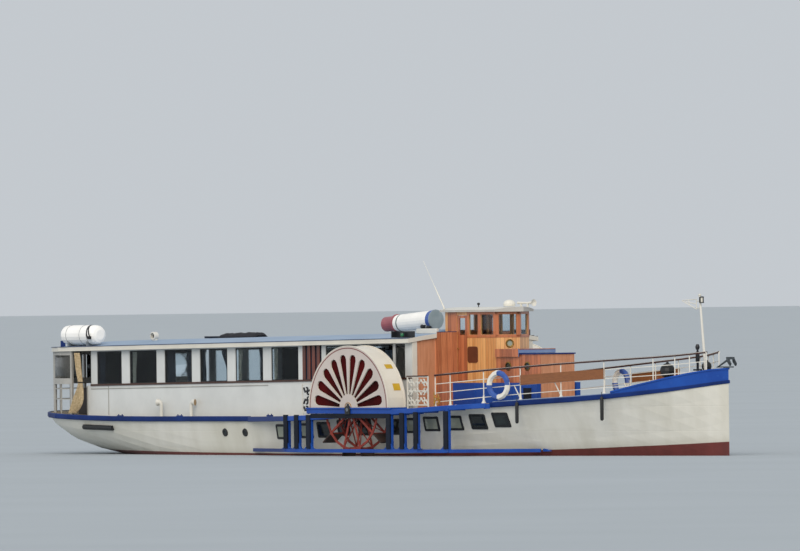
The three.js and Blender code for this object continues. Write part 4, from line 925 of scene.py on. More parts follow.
# The planked bay abaft the paddle box: narrow boards of varnished mahogany with dark gaps
dark_mahogany, tree, shader, place = surface("varnished_mahogany_boards", 0.35)
split = node(tree, "SeparateXYZ", Vector=place)
strip = maths(tree, "DIVIDE", split.outputs["X"], 0.12)
number = maths(tree, "FLOOR", strip)
tone = node(tree, "TexWhiteNoise", {"noise_dimensions": "1D"}, W=number)
tall = node(tree, "Mapping", Vector=place, Scale=(40.0, 40.0, 3.0))
grain = noise(tree, tall.outputs["Vector"], 1.0, 6.0)
mixed = maths(tree, "MULTIPLY_ADD", tone.outputs["Value"], 0.6, grain)
stain(tree, shader, mixed, "2E120D", "74351F", 0.35, 1.15)
shader.inputs["Coat Weight"].default_value = 0.4
for side_name, side in BOTH:
    stock = []
    low, high = sill_z(-0.9) + 0.03, sill_z(-0.9) + 0.96
    block(stock, -1.235, -0.50, side * (WALL + 0.0005), side * (WALL + 0.003), low, high)
    piece(f"bay_backing_{side_name}", stock, tar_black_and_painted_shade)
    stock = []
    for k in range(4):
        x = -1.225 + 0.185 * k
        low, high = sill_z(x) + 0.04, sill_z(x) + 0.955
        block(stock, x, x + 0.115, side * (WALL + 0.001), side * (WALL + 0.018), low, high)
    piece(f"planked_bay_{side_name}", stock, dark_mahogany, bevel=0.004)


# Saloon roof of ply under canvas, painted matt blue-grey; the canvas laps show as low seams
roof_paint, tree, shader, place = surface("grey_blue_paint_on_canvas", 0.62)
cloud = noise(tree, place, 0.8, 5.0, 0.6)
stain(tree, shader, cloud, "8499B0", "98ABC2", 0.3, 0.7)
split = node(tree, "SeparateXYZ", Vector=place)
laps = maths(tree, "PINGPONG", split.outputs["X"], 0.85)
lap = node(tree, "MapRange", i0=laps, i1=0.0, i2=0.02)
relief(tree, shader, lap.outputs["Result"], 0.5, 0.004)
finish_node(roof_paint, "saloon_roof")
finish_node(cream_white, "roof_fascia")
edge_blue = brushed_enamel("dark_blue_edge_paint", "2C3E66", 0.4, shade="243356")


# The stern's round is struck from this place on the centreline
STERN_X = -10.35


# The roof's edge from its forward starboard corner aft and round the stern, set out by grow
def roof_line(grow, steps=18):
    half = 2.08 + grow
    straight = (3.01, 0.0, -3.5, -7.0, STERN_X)
    line = [(x, -half) for x in straight]
    turns = [math.pi * k / steps for k in range(1, steps)]
    line += [(STERN_X - half * math.sin(a), -half * math.cos(a)) for a in turns]
    return line + [(x, half) for x in straight[::-1]]


def roof_z(x):
    return 2.710 + SHEER * (x + 10)


# A strip of given section (outward, up) along the roof's edge
def edge_strip(stock, section):
    rows = []
    line = roof_line(0.028)
    for i, (x, y) in enumerate(line):
        a, b = line[max(0, i - 1)], line[min(len(line) - 1, i + 1)]
        along = Vector((b[0] - a[0], b[1] - a[1])).normalized()
        out = Vector((along.y, -along.x))
        if out.dot(Vector((x - max(STERN_X, min(3.0, x)), y))) < 0:
            out = -out
        for offset, height in section:
            rows.append((x + out.x * offset, y + out.y * offset, roof_z(x) + height))
    loft(stock, rows, len(section))


stock = []
edge_strip(stock, ((-0.034, 0.018), (0.008, 0.018), (0.008, 0.036), (-0.034, 0.036)))
piece("roof_edge_strip", stock, edge_blue, bevel=0.003)
stock = []
edge_strip(stock, ((-0.002, -0.088), (0.010, -0.088), (0.010, -0.064), (-0.002, -0.064)))
piece("fascia_bead", stock, cream_white, bevel=0.004)


# Height of a CAD node's upper face at a place
def on_top(name, x, y):
    _, spot, _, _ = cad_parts[name].ray_cast(Vector((x, y, CLEAR_OF_BOAT)), Vector((0, 0, -1)))
    return spot.z


# Small cowl of spun metal on the roof's quarter, and a small blue tally box abaft the raft
stock = []
x, y = -8.60, -0.72
z = on_top("saloon_roof", x, y)
turned(stock, ((0.075, -0.01), (0.075, 0.05), (0.050, 0.06)), (x, y, z), (0, 0, 1), 24)
turned(stock, ((0.060, 0.02), (0.105, 0.02), (0.105, 0.14), (0.080, 0.15), (0.080, 0.04)),
       (x, y + 0.06, z + 0.11), (0, -1, 0), 28)
piece("roof_cowl", stock, old_white)
stock = []
turned(stock, ((0.079, 0), (0.079, 0.01)), (x, y + 0.02, z + 0.11), (0, -1, 0), 28)
piece("roof_cowl_mouth", stock, rubber_black)
stock = []
z = on_top("saloon_roof", -11.94, -1.05)
block(stock, -12.02, -11.86, -1.07, -1.03, z - 0.005, z + 0.17)
piece("tally_box", stock, deep_blue, bevel=0.006)


# Front of the saloon: flat varnished panels, pinkish brown, each side of the wheelhouse
panel_ply, tree, shader, place = surface("faded_varnished_ply", 0.45)
tall = node(tree, "Mapping", Vector=place, Scale=(14.0, 14.0, 1.6))
grain = noise(tree, tall.outputs["Vector"], 1.0, 6.0, 0.6)
stain(tree, shader, grain, "B87A56", "D49774", 0.3, 0.7)
relief(tree, shader, grain, 0.15, 0.001)
shader.inputs["Coat Weight"].default_value = 0.25
shader.inputs["Coat Roughness"].default_value = 0.25

# Varnished mahogany: red-brown, boards of 110 mm stood on end, each of its own tone
def varnished_boards(name, dark, light, pitch, sideways=False):
    """Planed boards under many coats of varnish: fine long grain, a dark line at each joint."""
    material, tree, shader, place = surface(name, 0.38)
    split = node(tree, "SeparateXYZ", Vector=place)
    if sideways:
        way = split.outputs["Z"]
        scale = (2.5, 30.0, 45.0)
    else:
        far = maths(tree, "ABSOLUTE", split.outputs["Y"])
        way = maths(tree, "MULTIPLY_ADD", far, -0.6, split.outputs["X"])
        scale = (45.0, 45.0, 2.5)
    strip = maths(tree, "DIVIDE", way, pitch)
    number = maths(tree, "FLOOR", strip)
    tone = node(tree, "TexWhiteNoise", {"noise_dimensions": "1D"}, W=number)
    stretched = node(tree, "Mapping", Vector=place, Scale=scale)
    grain = noise(tree, stretched.outputs["Vector"], 1.0, 7.0, 0.6)
    mixed = maths(tree, "MULTIPLY_ADD", tone.outputs["Value"], 0.7, grain)
    wood = ramp(tree, mixed, dark, light, 0.35, 1.2)
    joint = maths(tree, "PINGPONG", way, pitch / 2)
    gap = node(tree, "MapRange", i0=joint, i1=0.002, i2=0.007, i3=0.45, i4=0.0)
    colour = blend(tree, gap.outputs["Result"], wood, paint("2A120A"))
    tree.links.new(colour, shader.inputs["Base Color"])
    low = node(tree, "MapRange", i0=joint, i1=0.0, i2=0.008)
    relief(tree, shader, low.outputs["Result"], 0.4, 0.003)
    shader.inputs["Coat Weight"].default_value = 0.5
    shader.inputs["Coat Roughness"].default_value = 0.12
    return material


mahogany = varnished_boards("varnished_mahogany", "7A3A22", "C8764C", 0.115)
light_mahogany = varnished_boards("light_varnished_mahogany", "9A5636", "DE9064", 0.115)


for side_name, side in BOTH:
    name = f"front_bulkhead_{side_name}"
    finish_node(panel_ply, name)
    second_finish(name, light_mahogany, lambda middle, _: middle.x > 2.985 or abs(middle.y) < 1.188)
    stock = []
    block(stock, 2.985, 3.01, side * 1.80, side * 1.945, 1.14, roof_z(3) - 0.03)
    piece(f"corner_board_{side_name}", stock, cream_white, bevel=0.005)
    stock = []
    block(stock, 3.036, 3.058, side * 1.19, side * 0.56, 3.028, 3.046)
    piece(f"capping_strip_{side_name}", stock, edge_blue, bevel=0.003)


# Wheelhouse of pitch pine boards stood on end, warm orange under varnish; redder framing round its windows.
# The flat roof is white on top, its edges a greyer white that paints their shade, with a small black
# ventilator
orange_pine = varnished_boards("varnished_pitch_pine", "C47C40", "EEB06E", 0.10)
finish_node(orange_pine, "wheelhouse")
roof_edge_white_painted_shade = brushed_enamel("white_with_painted_shade_on_roof_edge", "C2BFB8", 0.5, shade="B2AEA7")
finish_node(roof_edge_white_painted_shade, "wheelhouse_roof")
second_finish("wheelhouse_roof", old_white, lambda middle, out: out.z > 0.5)
finish_node(mahogany, "wheelhouse_door_starboard", "wheelhouse_door_port", "helm_column", "helm_wheel")
red_framing = varnished_boards("red_stained_window_framing", "8F4A2A", "C47244", 0.5)
CORNER_X, APEX_X, HALF = 4.51, 4.79, 0.54


# A board on one of the wheelhouse's front facets, from share a to b of its length
def facet_board(stock, side, a, b, z0, z1, proud=0.008):
    start, end = Vector((APEX_X, 0)), Vector((CORNER_X, side * HALF))
    out = Vector((HALF, side * (APEX_X - CORNER_X))).normalized() * proud
    p, q = start + (end - start) * a, start + (end - start) * b
    board(stock, [(p.x, p.y, z0), (q.x, q.y, z0), (q.x, q.y, z1), (p.x, p.y, z1)], (out.x, out.y, 0))


# Shares of a facet's length where its window begins and ends
PANE_A, PANE_B = 0.085 / 0.608, 0.525 / 0.608
for side_name, side in BOTH:
    stock, glass = [], []
    block(stock, 2.70, 3.045, side * 0.539, side * 0.548, 2.90, 3.515)
    for x0, x1 in ((3.44, 3.51), (3.84, 3.95), (4.42, 4.515)):
        block(stock, x0, x1, side * 0.539, side * 0.548, 2.90, 3.515)
    block(stock, 3.44, 4.515, side * 0.539, side * 0.550, 2.885, 2.955)
    block(stock, 3.44, 4.515, side * 0.539, side * 0.549, 3.455, 3.515)
    for a, b, z0, z1 in ((0.0, PANE_A, 2.90, 3.515), (PANE_B, 1.0, 2.90, 3.515),
                         (0.0, 1.0, 2.885, 2.955), (0.0, 1.0, 3.455, 3.515)):
        facet_board(stock, side, a, b, z0, z1)
    piece(f"window_framing_{side_name}", stock, red_framing, bevel=0.004)
    for x0, x1 in ((2.76, 2.96), (3.51, 3.84), (3.95, 4.42)):
        block(glass, x0, x1, side * 0.516, side * 0.520, 2.955, 3.46)
    start, end = Vector((APEX_X - 0.02, 0)), Vector((CORNER_X - 0.02, side * HALF))
    p, q = start + (end - start) * PANE_A, start + (end - start) * PANE_B
    board(glass, [(p.x, p.y, 2.955), (q.x, q.y, 2.955), (q.x, q.y, 3.46), (p.x, p.y, 3.46)], (0.004, 0, 0))
    piece(f"wheelhouse_glass_{side_name}", glass, clear_glass)
    stock = []
    block(stock, 3.135, 3.355, side * 0.518, side * 0.522, 2.96, 3.37)
    piece(f"door_glass_{side_name}", stock, clear_glass, body=f"door_{side_name}")

# Trim on the wheelhouse: a blank dark panel beside each door, a brass-rimmed round light on the
# front's starboard side, and the doors' knobs and hinges
aged_brass, tree, shader, place = surface("aged_brass", 0.35, 1.0)
tarnish = noise(tree, place, 30.0, 5.0)
stain(tree, shader, tarnish, "6A5230", "B08D4C", 0.3, 0.7)
dull = node(tree, "MapRange", i0=tarnish, i3=0.28, i4=0.5)
tree.links.new(dull.outputs["Result"], shader.inputs["Roughness"])
dark_panel = brushed_enamel("dark_varnished_panel", "6B3A24", 0.3, shade="542B1B")
for side_name, side in BOTH:
    stock = []
    loop = [(3.64 + u, side * 0.540, 2.47 + v) for u, v in oblong(0.38, 0.40, 0.06)]
    board(stock, loop, (0, side * 0.016, 0))
    piece(f"blank_panel_{side_name}", stock, dark_panel, bevel=0.004)
    if side_name == "starboard":
        stock, eye_glass = [], []
        middle = Vector((4.672, side * 0.227, 2.74))
        out = Vector((HALF, side * (APEX_X - CORNER_X), 0)).normalized()
        rows = ((0.066, -0.01), (0.105, -0.01), (0.105, 0.012), (0.092, 0.024), (0.066, 0.020),
                (0.066, -0.009))
        turned(stock, rows, middle, out, 28)
        turned(eye_glass, ((0.067, 0), (0.067, 0.006)), middle, out, 28)
        piece("round_light_rim", stock, aged_brass)
        piece("round_light_glass", eye_glass, pale_glass_painted_reflection)
    stock = []
    rows = ((0.006, 0), (0.006, 0.02), (0.018, 0.024), (0.02, 0.036), (0.012, 0.044))
    turned(stock, rows, (3.11, side * 0.538, 2.62), (0, side, 0), 16)
    piece(f"door_knob_{side_name}", stock, aged_brass, body=f"door_{side_name}")
    stock = []
    for z in (2.05, 2.70, 3.25):
        pipe(stock, [(3.427, side * 0.541, z - 0.04), (3.427, side * 0.541, z + 0.04)], 0.0048, 10)
    piece(f"door_hinges_{side_name}", stock, aged_brass, body=f"door_{side_name}")

white_plastic = brushed_enamel("white_moulded_plastic", "E8E5DA", 0.3, shade="DAD6CA")
stock = []
turned(stock, ((0.012, -0.02), (0.012, 0.045), (0.035, 0.055), (0.038, 0.085), (0.02, 0.105)),
       (3.24, 0, on_top("wheelhouse_roof", 3.24, 0)), (0, 0, 1), 16)
piece("roof_ventilator", stock, rubber_black)


# Companion of varnished mahogany with a paler ply front; its top and the sliding lid are blue, a light blue
# on the upward faces and the lid's front and deep blue on the top's edges, and the round lights have brass
# rims
light_blue_top_paint = brushed_enamel("light_blue_paint_on_tops", "6C82AE", 0.5, shade="8395B2", chalk="A3ADBF")
finish_node(mahogany, "companion", "companion_hatch")
second_finish("companion", panel_ply, lambda middle, out: out.x > 0.9 and middle.x > 6.1)
second_finish("companion", light_blue_top_paint, lambda middle, out: middle.z > 2.47 and out.z > 0.5)
second_finish("companion", deep_blue, lambda middle, out: middle.z > 2.46 and abs(out.z) < 0.5)
second_finish("companion_hatch", light_blue_top_paint,
              lambda middle, out: middle.z > 2.45 and (out.z > 0.5 or out.x > 0.9))
for side_name, side in BOTH:
    stock, lights = [], []
    for x in (4.98, 5.70):
        rows = ((0.088, -0.01), (0.112, -0.004), (0.112, 0.01), (0.088, 0.016), (0.088, -0.009))
        turned(stock, rows, (x, side * 0.545, 2.18), (0, side, 0), 24)
        turned(lights, ((0.089, 0), (0.089, 0.005)), (x, side * 0.535, 2.18), (0, side, 0), 24)
    piece(f"porthole_rims_{side_name}", stock, aged_brass)
    piece(f"porthole_glass_{side_name}", lights, cabin_glass)
stock = []
block(stock, 5.432, 5.440, -0.59, 0.59, 2.588, 2.606)
piece("hatch_lip", stock, mahogany, body="hatch", bevel=0.003)


# Lockers along both sides of the foredeck, in the sponsons' blue, each with one open bay whose dark inside is
# a black panel of painted shade
finish_node(bright_blue, "side_locker_starboard", "side_locker_port")
for side_name, side in BOTH:
    stock = []
    # Black panel in the open bay: painted shade of its inside
    block(stock, 5.72, 6.04, side * 0.703, side * 0.708, 1.36, 1.66)
    piece(f"locker_bay_painted_shade_{side_name}", stock, tar_black_and_painted_shade)
    stock = []
    for z in (1.36, 1.66):
        block(stock, 5.70, 6.06, side * 0.703, side * 0.715, z - 0.012, z + 0.012)
    for x in (5.71, 6.05, 3.9, 4.6, 5.3):
        block(stock, x - 0.012, x + 0.012, side * 0.703, side * 0.715, 1.30, 1.74)
    piece(f"locker_battens_{side_name}", stock, bright_blue, bevel=0.003)


# Guard rails of steel tube in white enamel under a varnished hardwood top rail; each stanchion has
# a wide foot, and each side a blank varnished name board
rail_white = brushed_enamel("white_enamel_on_steel_tube", "E2DFD6", 0.32, shade="D3D0C6", chalk="B5B1A6")
finish_node(rail_white, "guard_rail_starboard", "guard_rail_port")
dark_rail = brushed_enamel("dark_varnish_on_hardwood", "43201C", 0.28, shade="2C1513")
sign_board = varnished_boards("varnished_sign_board", "663819", "8C5529", 0.35, sideways=True)
RAIL_SECTION = ((-0.034, -0.042), (0.034, -0.042), (0.036, -0.012), (0.024, 0.004), (-0.024, 0.004),
                (-0.036, -0.012))
RAIL_POSTS = (4.06, 4.58, 5.70, 6.87, 8.09, 9.31, 10.61, 11.16, 11.52, 11.93)


# The top rail's upper middle to one side, read from the node over each stanchion
def rail_line(side_name):
    spots, mesh = [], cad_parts["guard_rail_" + side_name].data
    for x in RAIL_POSTS:
        near = [v.co for v in mesh.vertices if abs(v.co.x - x) < 0.03]
        top = max(p.z for p in near)
        high = [p for p in near if p.z > top - 0.01]
        spots.append(Vector((x, sum(p.y for p in high) / len(high), top)))
    return spots


def between(spots, x):
    for a, b in zip(spots, spots[1:]):
        if a.x <= x <= b.x:
            return a.lerp(b, (x - a.x) / (b.x - a.x))
    return spots[-1]


for side_name, side in BOTH:
    rail = rail_line(side_name)
    stock = []
    loft(stock, [spot + Vector((0, dy, dz)) for spot in rail for dy, dz in RAIL_SECTION], len(RAIL_SECTION))
    piece(f"top_rail_{side_name}", stock, dark_rail)
    stock = []
    for spot in rail[:7]:
        foot = rim_at(spot.x)[1]
        rows = ((0.060, 0.0), (0.055, 0.03), (0.030, 0.07), (0.026, 0.16), (0.018, 0.20))
        turned(stock, rows, (spot.x, spot.y, foot), (0, 0, 1), 12)
    for x in (6.87, 8.09):
        spot = between(rail, x)
        pipe(stock, [(x + 0.02, spot.y, rim_at(x)[1] + 0.03), (x - 0.24, spot.y, spot.z - 0.46)], 0.014, 8)
    piece(f"stanchion_feet_{side_name}", stock, rail_white)
    stock = []
    outline = ((3.27, 1.945), (4.06, 1.955), (4.06, 1.985), (3.27, 1.975))
    board(stock, [(x, side * 2.345, z) for x, z in outline], (0, side * 0.035, 0))
    piece(f"panel_rail_{side_name}", stock, dark_rail, bevel=0.004)
    stock, rows = [], []
    for x in [6.905 + 2.43 * k / 6 for k in range(7)]:
        spot = between(rail, x)
        out = spot.y + side * 0.012
        rows += [(x, out, spot.z - 0.460), (x, out + side * 0.032, spot.z - 0.460),
                 (x, out + side * 0.032, spot.z - 0.220), (x, out, spot.z - 0.220)]
    loft(stock, rows, 4)
    piece(f"name_board_{side_name}", stock, sign_board)


# Stern screen of timber posts and rails in a grey white, darker than the boat's other whites, with clear
# plastic sheets laced between its beams
grey_white_screen_enamel = brushed_enamel("grey_white_enamel_on_screen", "B5B2AB", 0.45, shade="A19F99", chalk="8E8C86")
finish_node(grey_white_screen_enamel, "stern_screen")
clouded_plastic, tree, shader, place = surface("clouded_clear_vinyl", 0.18)
milky = noise(tree, place, 2.2, 5.0)
stain(tree, shader, milky, "6B6C6A", "8B8C88", 0.3, 0.7)
shader.inputs["Transmission Weight"].default_value = 0.55
shader.inputs["IOR"].default_value = 1.3
relief(tree, shader, milky, 0.3, 0.01)
SCREEN_SHEETS = (("starboard", (270, 225), clouded_plastic), ("port", (180, 135), clear_glass))
for label, starts, material in SCREEN_SHEETS:
    stock = []
    for start in starts:
        rows = []
        for step in (2, 15, 30, 43):
            a = math.radians(start - step)
            spot = (STERN_X + 2.035 * math.cos(a), 2.035 * math.sin(a))
            rows += [(*spot, 1.93), (*spot, 2.52)]
        stock.append((rows, [(0, 2, 3, 1), (2, 4, 5, 3), (4, 6, 7, 5)]))
    pane = piece(f"stern_screen_sheets_{label}", stock, material)
    thick = pane.modifiers.new("sheet_thickness", "SOLIDIFY")
    thick.thickness = 0.004


# Lifebuoys of moulded plastic, white with two blue quarters, hung outside the rails; a grab line
# runs round each
for side_name, side in BOTH:
    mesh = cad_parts["lifebuoy_" + side_name].data
    spots = [v.co for v in mesh.vertices]
    middle = sum(spots, Vector()) / len(spots)
    buoy, tree, shader, place = surface(f"moulded_buoy_plastic_{side_name}", 0.42)
    off = node(tree, "Mapping", Vector=place, Location=(-middle.x, 0, -middle.z))
    split = node(tree, "SeparateXYZ", Vector=off.outputs["Vector"])
    quarter = maths(tree, "MULTIPLY", split.outputs["X"], split.outputs["Z"])
    is_blue = node(tree, "MapRange", i0=quarter, i1=-0.0005, i2=0.0005)
    grime = noise(tree, place, 5.0, 5.0)
    white = ramp(tree, grime, "E0DCD2", "F2EFE8", 0.3, 0.7)
    blue = ramp(tree, grime, "2C4C94", "3D60AC", 0.3, 0.7)
    mixed = blend(tree, is_blue.outputs["Result"], white, blue)
    tree.links.new(mixed, shader.inputs["Base Color"])
    finish_node(buoy, "lifebuoy_" + side_name)
    turn = Vector((math.cos(0.15), side * -math.sin(0.15), 0))
    line = []
    for k in range(40):
        a = 2 * math.pi * k / 40
        reach = 0.360 - 0.010 * abs(math.sin(2 * a))
        line.append(middle + turn * (reach * math.cos(a)) + Vector((0, 0, reach * math.sin(a))))
    stock = []
    pipe(stock, line, 0.007, 6, closed=True)
    piece(f"grab_line_{side_name}", stock, white_plastic)


# Life raft in a white glass-fibre canister: two halves meet at a flange and are held by steel bands;
# two black web straps cross over it, on a galvanised cradle
gelcoat = brushed_enamel("white_gelcoat_on_glass_fibre", "FEFDFA", 0.3, shade="F6F4EF")
finish_node(gelcoat, "life_raft")
galvanised, tree, shader, place = surface("galvanised_steel", 0.45, 0.85)
spangle = node(tree, "TexVoronoi", Vector=place, Scale=40.0)
stain(tree, shader, spangle.outputs["Color"], "7F8488", "A6ABAE")
finish_node(galvanised, "raft_cradle")
black_web = brushed_enamel("black_polyester_webbing", "1B1B1E", 0.8, shade="121214")
RAFT_Y, RAFT_Z, RAFT_R = -1.76, 3.03, 0.25


# Place on the canister: angle from the top toward the starboard side, distance along, standing off
def on_raft(degrees, x, off):
    a = math.radians(degrees)
    return Vector((x, RAFT_Y - (RAFT_R + off) * math.sin(a), RAFT_Z + (RAFT_R + off) * math.cos(a)))


stock = []
for x in (-10.08, -9.79, -10.62):
    pipe(stock, [on_raft(10 * k, x, 0.001) for k in range(36)], 0.005, 6, closed=True)
piece("raft_bands", stock, galvanised)
stock = []
for x0, x1 in ((-10.00, -9.62), (-9.92, -9.74)):
    rows = []
    for k in range(15):
        t = k / 14
        turn, x = -60 + 170 * t, x0 + (x1 - x0) * t
        spot, under = on_raft(turn, x, 0.004), on_raft(turn, x, -0.001)
        wide = Vector((0.022, 0, 0))
        rows += [under - wide, under + wide, spot + wide, spot - wide]
    loft(stock, rows, 4)
hook = on_raft(105, -9.64, 0.02)
block(stock, hook.x - 0.07, hook.x + 0.05, hook.y - 0.015, hook.y + 0.02, hook.z - 0.04, hook.z + 0.04)
piece("raft_straps", stock, black_web)


# A long bundle on the roof: a plank with poles lashed on it, under a black proofed canvas cover that
# is laid over them and tucked down at the sides
proofed_canvas = cotton("black_proofed_canvas", "17181C", "2B2C33")
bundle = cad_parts["covered_bundle"].data
low_x, high_x = min(v.co.x for v in bundle.vertices), max(v.co.x for v in bundle.vertices)
stock = []
block(stock, low_x + 0.01, high_x - 0.05, -0.19, 0.19, on_top("saloon_roof", -7.2, 0.19) + 0.005,
      on_top("saloon_roof", -6.0, 0) + 0.035)
piece("bundle_plank", stock, tar_black_and_painted_shade)
rows, across = [], 25
for i in range(41):
    t = i / 40
    x = -6.72 + (high_x - 0.01 + 6.72) * t
    crown = on_top("covered_bundle", x, 0) - 0.012
    crown -= 0.012 * (1 + math.sin(t * 23 + 1)) + (0.05 if i in (0, 40) else 0)
    floor = on_top("saloon_roof", x, 0.2) + 0.012
    for k in range(across):
        u = -1 + 2 * k / (across - 1)
        fold = 0.004 * math.sin(9 * u + 31 * t)
        y = 0.205 * math.copysign(abs(u) ** 0.8, u)
        rows.append((x, y, floor + (crown - floor) * (1 - abs(u) ** 3.2) + fold * (1 - u * u)))
cover = laid_sheet("bundle_cover", rows, across, proofed_canvas)
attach(cover, "boat")
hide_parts("covered_bundle")


# The boarding gap's curtain of unbleached canvas, laced to the fascia, gathered and tied back to the
# screen's post at the rail, its foot trailing aft over the deck edge
buff_canvas = cotton("unbleached_canvas", "A89674", "D0BC9A")
# Height, after edge, forward edge
CURTAIN_ROWS = ((2.575, -10.06, -9.87), (2.40, -10.04, -9.83), (2.20, -10.01, -9.81), (2.00, -9.96, -9.78),
                (1.88, -9.92, -9.76), (1.78, -9.92, -9.76), (1.66, -9.98, -9.73), (1.54, -10.06, -9.72),
                (1.42, -10.14, -9.72), (1.30, -10.20, -9.76), (1.17, -10.27, -9.86), (1.045, -10.33, -10.02))
rows = [(after, forward, z) for z, after, forward in CURTAIN_ROWS]
gathered, flat_wide, flat_long = pleated("canvas_curtain_cloth", rows, -2.17, 0.026, 5, buff_canvas, -1)
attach(gathered, "boat")
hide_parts("canvas_curtain")
stock = []
turns = [2 * math.pi * k / 16 for k in range(16)]
loop = [(-9.840 + 0.090 * math.cos(a), -2.170 + 0.028 * math.sin(a), 1.83) for a in turns]
pipe(stock, loop, 0.012, 6, closed=True)
piece("curtain_tie", stock, proofed_canvas)

# Cowl ventilators of spun metal: a pipe from the deck that bends over and opens out, white outside
# and buff in the mouth. The after one faces aft, the other forward and a little inboard
mouth_buff = brushed_enamel("buff_paint_in_cowl_mouth", "A98B63", 0.5, shade="7E6445")
BEND, NECK = 0.065, 0.045
for place_name, x, way in (("aft", -6.655, (-0.95, -0.3)), ("fwd", -5.465, (0.883, 0.469))):
    for side_name, side in BOTH:
        foot = Vector((x, side * 2.11, rim_at(x)[1] - 0.01))
        toward = Vector((way[0], -side * way[1], 0)).normalized()
        knee = Vector((foot.x, foot.y, 1.255))
        line, radii = [foot, foot + Vector((0, 0, 0.03)), knee], [NECK + 0.01, NECK, NECK]
        for k in range(1, 7):
            a = math.radians(15 * k)
            line.append(knee + toward * BEND * (1 - math.cos(a)) + Vector((0, 0, BEND * math.sin(a))))
            radii.append(NECK + 0.035 * (k / 6) ** 2)
        line += [line[-1] + toward * 0.02, line[-1] + toward * 0.045, line[-1] + toward * 0.048]
        radii += [0.086, 0.092, 0.080]
        stock = []
        pipe(stock, line, radii, 20)
        cowl = piece(f"cowl_{place_name}_{side_name}", stock, old_white, crease=50)
        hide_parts(f"cowl_vent_{place_name}_{side_name}")
        stock = []
        turned(stock, ((0.079, 0.0), (0.079, 0.002), (0.05, 0.0025)), line[-1], toward, 20)
        piece(f"cowl_mouth_{place_name}_{side_name}", stock, mouth_buff)

# Low fairleads in dark blue on the deck's edge
for side_name, side in BOTH:
    stock = []
    for x in (-8.19, -5.78, -2.17):
        y, z = rim_at(x)
        block(stock, x - 0.10, x + 0.10, side * (y - 0.05), side * (y + 0.01), z, z + 0.035)
        for dx in (-0.07, 0.07):
            pipe(stock, [(x + dx, side * (y - 0.02), z), (x + dx, side * (y - 0.02), z + 0.065)], 0.014, 8)
    piece(f"fairleads_{side_name}", stock, deep_blue, bevel=0.004)


# Funnel of rolled plate, lowered aft on its hinge: white, with a red top, a dark green hoop under
# it, a blue band at the foot and a bare grey base flange. The coaming is the roof's grey
banded, tree, shader, place = surface("funnel_enamels", 0.33)
split = node(tree, "SeparateXYZ", Vector=place)
soot = noise(tree, place, 2.5, 5.0)
colour = ramp(tree, soot, "ECEAE4", "FCFAF5", 0.3, 0.65)
# Bands by their ends along the lowered funnel, in metres forward of amidships
for start, end, dark, light in ((-1.0, 0.165, "84404A", "A0585F"), (0.285, 0.325, "22382F", "36514A"),
                                (1.45, 1.592, "2F4A92", "4062AC"), (1.592, 4.0, "7E8D92", "A0ADB2")):
    after = maths(tree, "GREATER_THAN", split.outputs["X"], start)
    before = maths(tree, "LESS_THAN", split.outputs["X"], end)
    inside = maths(tree, "MULTIPLY", after, before)
    band = ramp(tree, soot, dark, light, 0.3, 0.7)
    colour = blend(tree, inside, colour, band)
tree.links.new(colour, shader.inputs["Base Color"])
finish_node(banded, "funnel")
finish_node(grey_blue_paint_and_painted_light, "funnel_coaming")
stock = []
for y in (-0.20, 0.20):
    block(stock, 1.56, 1.63, y - 0.025, y + 0.025, on_top("saloon_roof", 1.6, y) - 0.01, 3.06)
for x, z in ((1.50, 3.13), (1.72, 3.10)):
    foot = on_top("saloon_roof", x, -0.31)
    block(stock, x - 0.05, x + 0.05, -0.335, -0.285, foot - 0.01, z + 0.08)
    turned(stock, ((0.03, 0), (0.05, 0.01), (0.05, 0.05), (0.03, 0.06)), (x, -0.335, z + 0.04),
           (0, -1, 0), 16)
piece("funnel_hinge_blocks", stock, rubber_black, bevel=0.006)
stock = []
z = on_top("saloon_roof", 2.1, -0.75)
block(stock, 1.78, 2.55, -0.80, -0.70, z - 0.01, z + 0.12)
piece("roof_grab_rail", stock, old_white, bevel=0.02)

# Sidelight screens of painted board, with a lamp of green or red glass on the shelf
finish_node(black_paint, "light_screen_starboard", "light_screen_port")
LAMP_X = 2.62
for side_name, side, code, deep in (("starboard", -1, "2E8A5A", "1B5C3A"), ("port", 1, "B03A34", "7A2420")):
    lamp_glass, tree, shader, place = surface(f"sidelight_glass_{side_name}", 0.1)
    ribs = node(tree, "TexWave", {"bands_direction": "Z"}, Vector=place, Scale=40.0)
    stain(tree, shader, ribs.outputs["Color"], deep, code)
    shader.inputs["Coat Weight"].default_value = 0.6
    shelf = on_top("light_screen_" + side_name, LAMP_X, side * 1.95)
    stock = []
    turned(stock, ((0.035, 0), (0.042, 0.01), (0.042, 0.07), (0.035, 0.08)),
           (LAMP_X, side * 1.95, shelf + 0.012), (0, 0, 1), 20)
    piece(f"sidelight_glass_{side_name}", stock, lamp_glass)
    stock = []
    turned(stock, ((0.048, -0.002), (0.048, 0.013)), (LAMP_X, side * 1.95, shelf), (0, 0, 1), 20)
    turned(stock, ((0.046, 0), (0.046, 0.012), (0.02, 0.028)),
           (LAMP_X, side * 1.95, shelf + 0.092), (0, 0, 1), 20)
    piece(f"sidelight_case_{side_name}", stock, black_paint)


# Foremast of white painted tube, raked aft, with a ball at its head and a light wire frame that
# points aft. Its lantern has a white lens in a black case, with bars before it
stock = []
turned(stock, ((0.038, 0), (0.026, 2.10), (0.024, 2.215)), (11.70, 0, 1.70), (-0.0993, 0, 0.9951), 18)
turned(stock, ((0.012, 0), (0.036, 0.012), (0.040, 0.032), (0.034, 0.052), (0.010, 0.062)),
       (11.487, 0, 3.845), (-0.1, 0, 1), 16)
